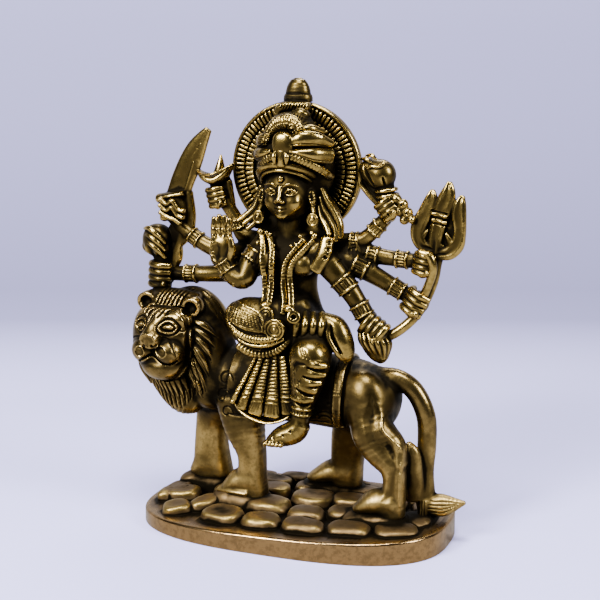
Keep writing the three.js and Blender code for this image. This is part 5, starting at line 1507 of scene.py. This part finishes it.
# crest bar and knob
KNOB_X = -4.3
halo.add(roll([[-11.4, 6, 184.8, 1.7, 2.6], [-10.2, 6, 187, 2, 2.8], [-6, 6, 188.2, 2, 3],
               [2.2, 6, 188, 1.9, 2.8]], 4, square=2.8), 0.3)
KNOB = [(186.6, 5.4), (189.4, 5.4), (189.8, 6.6), (191.4, 6.5), (192.6, 6.2), (193.0, 5.7), (194.4, 5.5),
        (196.2, 5.0), (197.8, 4.2), (199, 3.2), (199.8, 1.4)]
for (z0, r0), (z1, r1) in zip(KNOB, KNOB[1:]):
    start, stop = np.array([KNOB_X, 11.4, z0]), np.array([KNOB_X, 11.4, z1])
    halo.add([link(start, stop, (r0, r0 * 0.8), (r1, r1 * 0.8), 0.04, 2)], 0.15)
# pits near the rim
lines = Relief(halo)
chance = np.random.default_rng(5)
for k in range(40):
    a = chance.uniform(0, 2 * pi)
    r = chance.uniform(24, 29)
    x, z = HALO_X + r * cos(a), HALO_Z + r * sin(a)
    lines.dot((x, z), chance.uniform(0.4, 0.9), -0.35)
# slanting cuts on the crest bar
for k in range(9):
    x = -9.6 + 1.35 * k
    lines.stroke([[x, 186.8], [x + 1.2, 189.2]], 0.3, -0.5, taper=0.4)
lines.press(1, 14)
cast("halo_casting", halo, 150000)

# %% [markdown]
# ## What she holds
# Seven hands hold small things: a sabre, a mace, a bowl with a small pyramid, a conch, a trident, a bow and
# a lotus. The eighth is open. The things are thin and lie close to the plane of the arms, so each is a few
# flat rolls.

# %% Sabre and mace
things = Clay((-80, -9, 77), (77, 15, 182), 0.34)
BLADE = [[-60.4, 5, 146, 5.6, 1.7], [-57.4, 5, 154, 5.6, 1.6], [-53.6, 5, 162, 5.5, 1.6],
         [-50.4, 5, 168.4, 4.6, 1.5], [-47, 5, 173.6, 3, 1.4], [-44.6, 5, 176.8, 1.7, 1.3]]
things.add(roll(BLADE, 6, cap=0.3, square=2.8), 0.3)
things.add(roll([[-54.8, 5.4, 148, 2, 1.8], [-53.8, 5.6, 138, 2.2, 1.8], [-55, 5.4, 129, 2.4, 2]], 4), 0.6)
# metal that the mould left between hand, guard and mace
things.add(lumps([([-57.6, 6, 140], (4.6, 2.4, 8.4)), ([-60.4, 6, 129.6], (5.6, 2.4, 7), -20),
                  ([-62.2, 6, 120.6], (3.6, 2.2, 7))]), 0.8)
things.add(roll([[-66.6, 4, 136, 2.2], [-66, 4, 145, 2.4]], 2), 0.3)
things.add(roll([[-68.4, 3.4, 145.2, 2.3, 3.4], [-62.6, 3, 146.8, 1.7, 3.6],
                 [-56.6, 3.4, 148, 1.3, 3]], 4), 0.4)
# cloth wound over the sabre hand
for fold in ([[-66.4, 145.6], [-63, 143.4], [-60.2, 144.9], [-57.4, 141.4], [-54.6, 140.6]],
             [[-66.6, 142.8], [-63.2, 140.6], [-60.4, 142], [-57.6, 138.6], [-55, 137.6]],
             [[-66.4, 139.6], [-62.6, 137.6], [-59.4, 136.6], [-56.6, 134.8]]):
    things.add(roll([[x, -0.6, z, 1.2, 1.7] for x, z in fold], 5), 0.2)
MACE = (-70.4, 4.2, 126)
things.add(lump(MACE, (7, 6.4, 7.4), square=2.2), 0.4)
for k in range(8):
    a = 2 * pi * k / 8 + 0.3
    side = np.array([cos(a), sin(a)])
    things.add(roll([[MACE[0] + 2.6 * side[0] + 0.8, MACE[1] + 2.6 * side[1], 119.4, 1.2],
                     [MACE[0] + 5.6 * side[0], MACE[1] + 5 * side[1], 122.4, 1.7],
                     [MACE[0] + 6 * side[0], MACE[1] + 5.6 * side[1], 126.4, 0.8]], 4), 0.3)
# cloth wound slantwise round the mace
for shift in (-3.4, 0, 3.4):
    things.add(roll([[-75.4, 1, 128 + shift, 0.7], [-72, -1.4, 128.6 + shift, 1.1],
                     [-68, -2, 126.2 + shift, 1.2], [-64.8, 0, 122 + shift, 0.8]], 4), 0.3)
things.add(roll([[-69.2, 4.4, 121, 4.2, 4], [-67.2, 4.4, 112, 3.6, 3.6],
                 [-66.6, 4.2, 104.6, 2.6, 2.6]], 3), 0.5)
things.add(roll([[-63, 5.2, 114, 1.9, 1.8], [-60.4, 5.4, 124, 2.0, 1.8], [-58, 5.4, 132, 2.2, 2]], 4), 0.5)

# %% Bowl with a small pyramid
BOWL_RIM = [[-50, 4.6, 158.2], [-45.4, 0.6, 157.2], [-40.6, -0.2, 157.8], [-36.4, 1.4, 159.6],
            [-33, 5.4, 162]]
things.add(roll([[-49.4, 5, 158, 0.9, 1.8], [-46, 4.6, 155.8, 2, 4.2], [-41.2, 4.6, 154.8, 2.5, 5],
                 [-37, 5, 157.2, 2.2, 4.2], [-33.4, 5.6, 161.4, 0.9, 2]], 5), 0.5)
things.add(roll([[*p, 0.5] for p in BOWL_RIM], 5), 0.2)
things.add(roll([[-39.6, 5.4, 157.6, 2.8], [-39.1, 5.4, 162, 1.7], [-38.8, 5.4, 165.8, 0.4]], 3), 0.3)
things.add(roll([[-41, 5, 149, 2.8, 2.8], [-41.4, 5, 156, 2.6, 2.8]], 3), 0.5)
things.add(lump([-37.6, 6.4, 151], (4, 1.8, 6.4)), 0.5)
things.add(roll([[-35.4, 6, 154, 1.5], [-34, 6.4, 145, 1.5], [-32.9, 6.4, 135, 1.7]], 4), 0.5)

# %% Conch: a bulb with a lip and fins, on a ringed neck
things.add(lump([36.2, 4.6, 160], (6.4, 6, 6.6)), 0.5)
things.add(roll([[35.4, 4.6, 160.6, 5.8, 5.6], [31, 4.8, 162, 5.2, 4.8], [28.2, 5, 162.4, 3, 3.4]], 5), 0.8)
for x, z in ((27.4, 166.4), (29.8, 168)):
    things.add(roll([[x, 4, z, 0.6, 0.9], [x + 3, 1.6, z + 0.4, 1, 1.2],
                     [x + 5.4, 0.6, z - 1, 0.5]], 4), 0.3)
LIP = [[31.6, -0.6, 163.2], [33.6, -1, 164.2], [36, -1.2, 163.8], [38.2, -0.6, 164.8], [38.6, 0.6, 166.4]]
things.add(roll([[*p, 0.65] for p in LIP], 5), 0.25)
things.cut(lump([35.4, -0.6, 165.4], (0.9, 1.6, 0.8)), 0.15)
things.cut(roll([[29.4, -0.6, 164.2, 0.6, 1.6], [31.4, -0.8, 160.4, 0.9, 1.6],
                 [34.2, -0.6, 155.4, 0.7, 1.6]], 5), 0.3)
things.cut(roll([[38.5, -0.6, 159.6, 0.4, 1.2], [39.2, 0, 155.6, 0.6, 1.4]], 3), 0.2)
things.add(roll([[27.4, 5, 161, 2.2, 2.6], [27, 5, 156.2, 1.2, 2], [30.6, 4.6, 152, 1.5, 2.2],
                 [35.2, 4.4, 147.8, 1.7, 2.2]], 5), 0.4)
things.add(roll([[31, 5.6, 158, 2, 2], [32.6, 5.4, 153.6, 2.2, 2.2], [38, 4.8, 149, 2.6, 2.6]], 4), 0.5)
things.add(roll([[37.6, 4.6, 156.4, 4.2, 4], [39, 4.4, 150.4, 3.5, 3.4]], 3), 0.4)
for x, z in ((38.6, 153.6), (39.1, 151.3)):
    neck = [[x + 4.3 * cos(a), 4.4 + 4 * sin(a), z + 0.7 * cos(a)] for a in np.linspace(0, 2 * pi, 15)]
    things.add(roll([[*p, 0.85] for p in neck], 1), 0.2)
# curled ends of the cloth that the hand holds
for x, z, size in ((43.6, 150.2, 2), (46.4, 148, 2.2), (48.6, 144.6, 2.1), (50.6, 141.8, 1.7),
                   (45, 145.2, 2.3), (47.2, 141.4, 1.9)):
    things.add(lump([x, 3, z], (size * 1.1, 2.6, size * 1.1)), 0.8)
things.add(lump([28.6, 6, 157.4], (2.6, 1.6, 3.4)), 0.4)

# %% Trident
things.add(roll([[59.4, 5, 115.4, 2, 1.8], [61.4, 5, 124, 2.3, 2], [62.8, 5.2, 131, 2.2, 2]], 4), 0.4)
PRONGS = [
    [[60.2, 5, 128, 2.9, 2.4], [60.6, 5, 134, 3.1, 2.3], [61.8, 5, 140, 3.4, 2.2], [63.2, 5, 146, 3.9, 2.2],
     [64.8, 5, 150.6, 3.9, 2], [65.8, 5, 154.6, 2.8, 1.8], [66, 5, 157.8, 1.2, 1.2]],
    [[60, 5, 129.4, 2.2, 2.1], [55, 5, 130.8, 2.8, 2.1], [52.7, 5, 134.6, 3.1, 2.1],
     [53.3, 5, 139.6, 3.5, 2], [55.7, 5, 144.4, 3.3, 1.9], [57.7, 5, 149, 3, 1.8],
     [58.6, 5, 152.2, 2.2, 1.6], [58.7, 5, 154.2, 1.1, 1.1]],
    [[62, 5, 127.4, 2.6, 2.1], [66.6, 5, 128.2, 3.1, 2.1], [69.8, 5, 131.6, 3.2, 2.1], [71, 5, 136, 2.6, 2],
     [70.9, 5, 140.6, 2.8, 2], [70.4, 5, 145.4, 3.2, 1.9], [70.9, 5, 149.4, 2.5, 1.7],
     [71.7, 5, 152.2, 1.2, 1.2]],
]
# metal that the mould left between the prongs
things.add(lump([62, 6.4, 137.6], (9, 1.1, 10.4), square=3), 0.2)
for path in PRONGS:
    things.add(roll(path, 5, cap=0.5, square=2.8), 0.25)
# barbs inside the outer prongs, and a double ring on the middle one
for x, z, tip_x, tip_z in ((54, 133, 57.2, 137.4), (67.8, 131.8, 65.2, 136.4)):
    things.add(roll([[x, 5, z, 2, 2], [tip_x, 5, tip_z, 0.8, 1.4]], 2), 0.3)
for z in (144.2, 141.6):
    things.add(roll([[59.4, 3.2, z + 0.6, 0.8, 0.9], [65.4, 3.2, z - 0.6, 0.8, 0.9]], 1), 0.15)

# %% Bow and lotus
things.add(roll([[55, 0.6, 128.6, 1.4], [59.2, 0.4, 127, 1.9], [60.8, 0.6, 122, 1.9], [59.6, 1, 116.6, 1.9],
                 [56.4, 1.4, 108.6, 1.9]], 5), 0.3)
things.add(roll([[61.4, 5, 127, 1.7], [61, 4.6, 119, 2], [58.8, 4.4, 111, 1.9], [54.6, 3, 102.4, 2.1],
                 [48.8, 1, 95.8, 2.2], [42.6, -0.6, 91.4, 2.2], [37, -1.6, 90, 1.8]], 6), 0.5)
LOTUS = [[34.4, -1.5, 94, 4.2, 3.8], [36.2, -1.4, 88.6, 6.4, 5.2], [38, -1.2, 83.4, 4.8, 4.4],
         [39.4, -1, 80.4, 2.4, 2.4]]
things.add(roll(LOTUS, 4), 0.4)
for k in range(11):
    a = radians(150 + 24 * k)
    side = np.array([cos(a), sin(a)])
    petal = [[34.6 + 5.4 * side[0], -1.6 + 4.8 * side[1], 92.6 - 0.2 * side[0], 0.7],
             [36.6 + 6.2 * side[0], -1.6 + 5.4 * side[1], 88, 1.2],
             [39 + 2.4 * side[0], -1.2 + 2.4 * side[1], 81.4, 0.8]]
    things.add(roll(petal, 4), 0.2)

# %% Lines on the things
lines = Relief(things)
# the sabre's spine and cuts across it, then the creases of the conch's and the bowl's hands
lines.stroke([[-51.4, 162.4], [-54, 154.6], [-56.6, 147.4]], 0.6, 0.3, taper=0.5)
for k in range(5):
    lines.stroke([[-52.6 + 1.6 * k, 164 + 2.2 * k],
                  [-49.4 + 1.3 * k, 169.6 + 1.8 * k]], 0.2, -0.18, taper=0.6)
for x, z in ((-43.4, 149.4), (-40, 147), (-43, 143.4), (-38.6, 142), (46.4, 148), (48.6, 144.6),
             (45, 145.2)):
    lines.dot((x, z), 0.75, -0.9)
# the trident's faces are flat inside a thin rim, and the double ring is cut deep
for path in PRONGS:
    lines.stroke([[p[0], p[2]] for p in path], 1.9, -0.4, taper=0.7)
for z in (145.6, 142.9, 140.3):
    lines.stroke([[58.8, z + 0.6], [65.6, z - 0.7]], 0.4, -0.8)
lines.press(-9, 8)
cast("held_things_casting", things, 130000)

# %% [markdown]
# ## Antique brass
# The brass was blackened and then rubbed, so colour follows shape: bright metal on what a cloth reaches,
# dark patina in the hollows. The two numbers kept in each mesh tell how hollow a place is. A shader group
# mixes them with cloudy noise into one mask, and gives out the colour, roughness and height that every
# casting uses.

# %% Give each casting its depth in the whole figure
deep = box_blur(box_blur(crowd, 2), 4)
for piece, at in castings:
    wide = sample(deep, (at - crowd_low) / COARSE)
    piece.data.attributes.new("wide", "FLOAT", "POINT").data.foreach_set("value", wide)
    piece.data.vertices.foreach_set("co", (at * METRES).ravel())
    piece.data.update()


# %% The shader group
def shader_group(name, inputs, outputs):
    group = bpy.data.node_groups.new(name, "ShaderNodeTree")
    for label, (kind, value) in inputs.items():
        socket = group.interface.new_socket(label, in_out="INPUT", socket_type=kind)
        socket.default_value = value
    for label, kind in outputs.items():
        group.interface.new_socket(label, in_out="OUTPUT", socket_type=kind)
    return group


class Shader(Nodes):
    """Nodes for a shader tree."""

    def math(self, operation, a, b):
        return self.node("ShaderNodeMath", {0: a, 1: b}, operation=operation).outputs[0]

    def centred(self, value, middle, gain):
        """How far a value is from the middle, times the gain."""
        return self.math("MULTIPLY", self.math("SUBTRACT", value, middle), gain)

    def mix(self, share, a, b):
        """Two colours mixed: the second one by its share."""
        return self.node("ShaderNodeMix", {0: share, 6: a, 7: b}, data_type="RGBA").outputs[2]

    def ramp(self, value, low, high):
        """A soft step from 0 at low to 1 at high."""
        sockets = {0: value, 1: low, 2: high}
        return self.node("ShaderNodeMapRange", sockets, interpolation_type="SMOOTHSTEP").outputs[0]

    def fit(self, value, low, high, start=0.0, stop=1.0):
        """Goes evenly from start to stop while the value goes from low to high."""
        return self.node("ShaderNodeMapRange", {0: value, 1: low, 2: high, 3: start, 4: stop}).outputs[0]

    def noise(self, place, scale, detail, rough=0.55):
        sockets = {"Vector": place, "Scale": scale, "Detail": detail, "Roughness": rough}
        return self.node("ShaderNodeTexNoise", sockets).outputs["Fac"]

    def place(self):
        """The place on the figure, in metres."""
        return self.node("ShaderNodeTexCoord").outputs["Object"]

    def attribute(self, name):
        return self.node("ShaderNodeAttribute", attribute_name=name).outputs["Fac"]

    def existing(self, kind):
        """The tree's own node of a kind."""
        return next(node for node in self.tree.nodes if node.type == kind)


FLOAT, COLOUR = "NodeSocketFloat", "NodeSocketColor"
brass_group = shader_group(
    "antique brass",
    {
        "Polished": (COLOUR, (0.46, 0.33, 0.12, 1)),
        "Worn": (COLOUR, (0.085, 0.057, 0.015, 1)),
        "Patina": (COLOUR, (0.006, 0.0045, 0.0024, 1)),
        "Rubbed": (FLOAT, 0.5),
        "Depth": (FLOAT, 0.5),
    },
    {"Color": COLOUR, "Roughness": FLOAT, "Height": FLOAT},
)
s = Shader(brass_group)
given = brass_group.nodes.new("NodeGroupInput").outputs
result = brass_group.nodes.new("NodeGroupOutput").inputs
place = s.place()
cloud = s.noise(place, 55, 5)
speck = s.noise(place, 420, 4, 0.65)
smear = s.noise(place, 160, 3)
# hollows are places with more metal round them than half
hollow = s.centred(s.attribute("near"), 0.5, 3.4)
deepness = s.centred(s.attribute("wide"), given["Depth"], 2.6)
unevenness = s.centred(cloud, 0.5, 1.1)
fine_noise = s.centred(smear, 0.5, 0.55)
dark = s.math("ADD", s.math("ADD", hollow, deepness), s.math("ADD", unevenness, fine_noise))
dark = s.math("SUBTRACT", dark, given["Rubbed"])
grime = s.ramp(dark, -0.2, 0.26)
wear = s.ramp(dark, -0.78, -0.2)
metal = s.mix(wear, given["Polished"], given["Worn"])
metal = s.mix(s.ramp(speck, 0.42, 0.66), metal, s.mix(0.5, metal, given["Worn"]))
s.set(result["Color"], s.mix(grime, metal, given["Patina"]))
rough = s.math("ADD", s.math("MULTIPLY", wear, 0.1), s.math("MULTIPLY", grime, 0.3))
rough = s.math("ADD", rough, s.math("MULTIPLY", speck, 0.14))
s.set(result["Roughness"], s.math("ADD", rough, 0.12))
s.set(result["Height"], s.math("ADD", s.math("MULTIPLY", speck, 0.5), s.math("MULTIPLY", smear, 0.8)))


# %% Materials of the three castings
def brass(name, **values):
    """A material of antique brass, with some of the group's inputs set."""
    material = bpy.data.materials.new(name)
    material.use_nodes = True
    s = Shader(material.node_tree)
    group = s.node("ShaderNodeGroup", values, node_tree=brass_group).outputs
    surface = s.existing("BSDF_PRINCIPLED").inputs
    s.set(surface["Base Color"], group["Color"])
    s.set(surface["Roughness"], group["Roughness"])
    s.set(surface["Metallic"], 1.0)
    relief = s.node("ShaderNodeBump", {"Height": group["Height"], "Strength": 0.5, "Distance": 0.0003})
    s.set(surface["Normal"], relief.outputs[0])
    return material


SIDE_METAL, STONE_METAL = (0.34, 0.21, 0.085, 1), (0.27, 0.185, 0.052, 1)
MATERIALS = {
    "goddess": brass("goddess brass", Rubbed=-0.04, Depth=0.42, Polished=(0.46, 0.32, 0.085, 1)),
    "lion": brass("lion brass", Depth=0.44, Polished=(0.40, 0.275, 0.088, 1), Worn=(0.08, 0.053, 0.016, 1)),
    "plinth": brass("plinth brass", Rubbed=0.22, Depth=0.5, Polished=SIDE_METAL,
                    Worn=(0.11, 0.07, 0.03, 1)),
}
# what stands furthest out on the goddess is handled most
goddess_tree = Shader(MATERIALS["goddess"].node_tree)
depth = goddess_tree.node("ShaderNodeSeparateXYZ", {0: goddess_tree.place()}).outputs["Y"]
handled = goddess_tree.fit(depth, 0.012, -0.018, -0.2, 0.2)
goddess_tree.set(goddess_tree.existing("GROUP").inputs["Rubbed"], handled)
# the plinth's side was ground bright and copper coloured, its stones are as dull as the lion
plinth_tree = Shader(MATERIALS["plinth"].node_tree)
uphill = ((HEAD_END - TAIL_END) / 2 / HALF_LENGTH, 0, 1)
sockets = {0: plinth_tree.place(), 1: uphill}
over_plate = plinth_tree.node("ShaderNodeVectorMath", sockets, operation="DOT_PRODUCT")
middle_top = (HEAD_END + TAIL_END) / 2 * METRES
paved = plinth_tree.ramp(over_plate.outputs["Value"], middle_top - 0.0004, middle_top + 0.0008)
group = plinth_tree.existing("GROUP")
plinth_tree.set(group.inputs["Polished"], plinth_tree.mix(paved, SIDE_METAL, STONE_METAL))
plinth_tree.set(group.inputs["Rubbed"], plinth_tree.fit(paved, 0.0, 1.0, 0.26, -0.02))
dull = plinth_tree.math("ADD", group.outputs["Roughness"], plinth_tree.math("MULTIPLY", paved, 0.2))
plinth_tree.set(plinth_tree.existing("BSDF_PRINCIPLED").inputs["Roughness"], dull)
# the lion's legs were filed and handled, so they are rubbed far more than its flanks, and the forelegs most
LEG_TOP, LEG_FOOT = 0.054, 0.036
lion_tree = Shader(MATERIALS["lion"].node_tree)
lion_place = lion_tree.node("ShaderNodeSeparateXYZ", {0: lion_tree.place()}).outputs
low_down = lion_tree.fit(lion_place["Z"], LEG_TOP, LEG_FOOT)
forward = lion_tree.fit(lion_place["X"], 0.03, -0.01, 0.2, 0.46)
rubbed = lion_tree.math("ADD", lion_tree.math("MULTIPLY", low_down, forward), 0.04)
group = lion_tree.existing("GROUP")
lion_tree.set(group.inputs["Rubbed"], rubbed)
# filed metal is satin, not polished
satin = lion_tree.fit(lion_place["Z"], LEG_TOP, LEG_FOOT, 0.0, 0.16)
satin_rough = lion_tree.math("ADD", group.outputs["Roughness"], satin)
lion_tree.set(lion_tree.existing("BSDF_PRINCIPLED").inputs["Roughness"], satin_rough)
FINISHES = {"lion_casting": "lion", "plinth_casting": "plinth"}
NODES = {"goddess": "durga", "lion": "lion", "plinth": "plinth"}
for piece, _ in castings:
    finish = FINISHES.get(piece.name, "goddess")
    piece.data.materials.clear()
    piece.data.materials.append(MATERIALS[finish])
    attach(piece, "root")
    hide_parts(NODES[finish])

# %% [markdown]
# ## Floor and light
# The figure stands on pale lilac paper in soft light from both sides. Metal shows what is round it, so the
# room is kept dim and the lamps are large: they are what makes the bright bands on the polished places.

# %% Floor
paper = bpy.data.materials.new("pale paper")
paper.use_nodes = True
sheet = Shader(paper.node_tree)
facing_camera = sheet.node("ShaderNodeLightPath").outputs["Is Camera Ray"]
surface = sheet.existing("BSDF_PRINCIPLED")
# the paper's colour is painted dimmer for the metal's reflections and bounced light than for the eye, as it
# would look past a pair of black cards
# painted shade: the shade attribute darkens the paper's lilac towards black
lilac = sheet.mix(sheet.attribute("shade"), (0, 0, 0, 1), (0.54, 0.525, 0.95, 1))
sheet.set(surface.inputs["Base Color"], sheet.mix(facing_camera, (0.26, 0.25, 0.26, 1), lilac))
sheet.set(surface.inputs["Roughness"], 0.9)
sheet.set(surface.inputs["Specular IOR Level"], 0.1)
# its back is clear, so that the figure can also be looked at from behind
behind = sheet.node("ShaderNodeNewGeometry").outputs["Backfacing"]
clear = sheet.node("ShaderNodeBsdfTransparent").outputs[0]
one_sided = sheet.node("ShaderNodeMixShader", {0: behind, 1: surface.outputs[0], 2: clear}).outputs[0]
sheet.set(sheet.existing("OUTPUT_MATERIAL").inputs["Surface"], one_sided)
sweep = bpy.data.meshes.new("paper sweep")
# from the front edge along the table, round a bend and up, in metres
near_edge, depth, bend, rise, half = -0.65, 0.2, 0.22, 0.6, 2.4
profile = [(near_edge, 0.0), (depth, 0.0)]
profile += [(depth + bend * sin(a), bend - bend * cos(a)) for a in np.linspace(0.1, pi / 2, 12)]
profile += [(depth + bend, rise)]
# the paper's colour is painted darker just above the bend, as painted shade, and painted paler again
# towards the lamps, as painted light
painted_shades = np.interp([z for _, z in profile], [0, 0.004, 0.03, 0.22, rise], [1, 0.92, 0.36, 0.55, 0.9])
# it is turned to face the camera
c, s = cos(AZIMUTH), sin(AZIMUTH)
corners = [(x * c - y * s, x * s + y * c, z) for y, z in profile for x in (-half, half)]
sweep.from_pydata(corners, [], [(2 * k, 2 * k + 1, 2 * k + 3, 2 * k + 2) for k in range(len(profile) - 1)])
for face in sweep.polygons:
    face.use_smooth = True
# the painted shade is stored on each point of the paper
shade = sweep.attributes.new("shade", "FLOAT", "POINT").data
shade.foreach_set("value", np.repeat(painted_shades, 2).astype(np.float32))
sweep.materials.append(paper)
floor = bpy.data.objects.new("paper_sweep", sweep)
bpy.context.scene.collection.objects.link(floor)

# %% Lamps
world = bpy.data.worlds.new("room")
bpy.context.scene.world = world
world.use_nodes = True
room = Shader(world.node_tree)
dim = room.existing("BACKGROUND")
room.set(dim.inputs["Color"], (0.62, 0.62, 0.68, 1))
room.set(dim.inputs["Strength"], 0.05)
# where the paper ends the camera sees its colour, and the metal still sees the dim room
pale = room.node("ShaderNodeBackground", {"Color": (0.66, 0.65, 0.8, 1), "Strength": 1.6})
facing_camera = room.node("ShaderNodeLightPath").outputs["Is Camera Ray"]
seen = room.node("ShaderNodeMixShader", {0: facing_camera, 1: dim.outputs[0],
                                         2: pale.outputs[0]}).outputs[0]
room.set(room.existing("OUTPUT_WORLD").inputs["Surface"], seen)


LAMP_AIM = Vector((0, 0, 0.1))  # the figure's middle, in metres


def lamp(name, azimuth, elevation, distance, size, power):
    """A soft rectangular lamp aimed at the figure, at an azimuth counted as the camera's is."""
    light = bpy.data.lights.new(name, "AREA")
    light.shape = "RECTANGLE"
    light.size, light.size_y = size
    light.energy = power
    lamp_object = bpy.data.objects.new(name, light)
    a, e = radians(azimuth), radians(elevation)
    direction = Vector((sin(a) * cos(e), -cos(a) * cos(e), sin(e)))
    lamp_object.location = direction * distance + LAMP_AIM
    lamp_object.rotation_euler = direction.to_track_quat("Z", "Y").to_euler()
    bpy.context.scene.collection.objects.link(lamp_object)


lamp("left softbox", -26, 32, 1.1, (0.3, 0.46), 32)
lamp("right softbox", 80, 30, 1.1, (0.26, 0.46), 15)
lamp("top softbox", 10, 72, 1.2, (0.54, 0.34), 26)
lamp("back light", 190, 50, 1.2, (0.6, 0.4), 14)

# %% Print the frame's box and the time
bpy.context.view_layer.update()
print("cad   ", [[round(v * 1000, 1) for v in c] for c in CAD_BOX])
print("time", round(time.time() - STARTED, 1), "s")
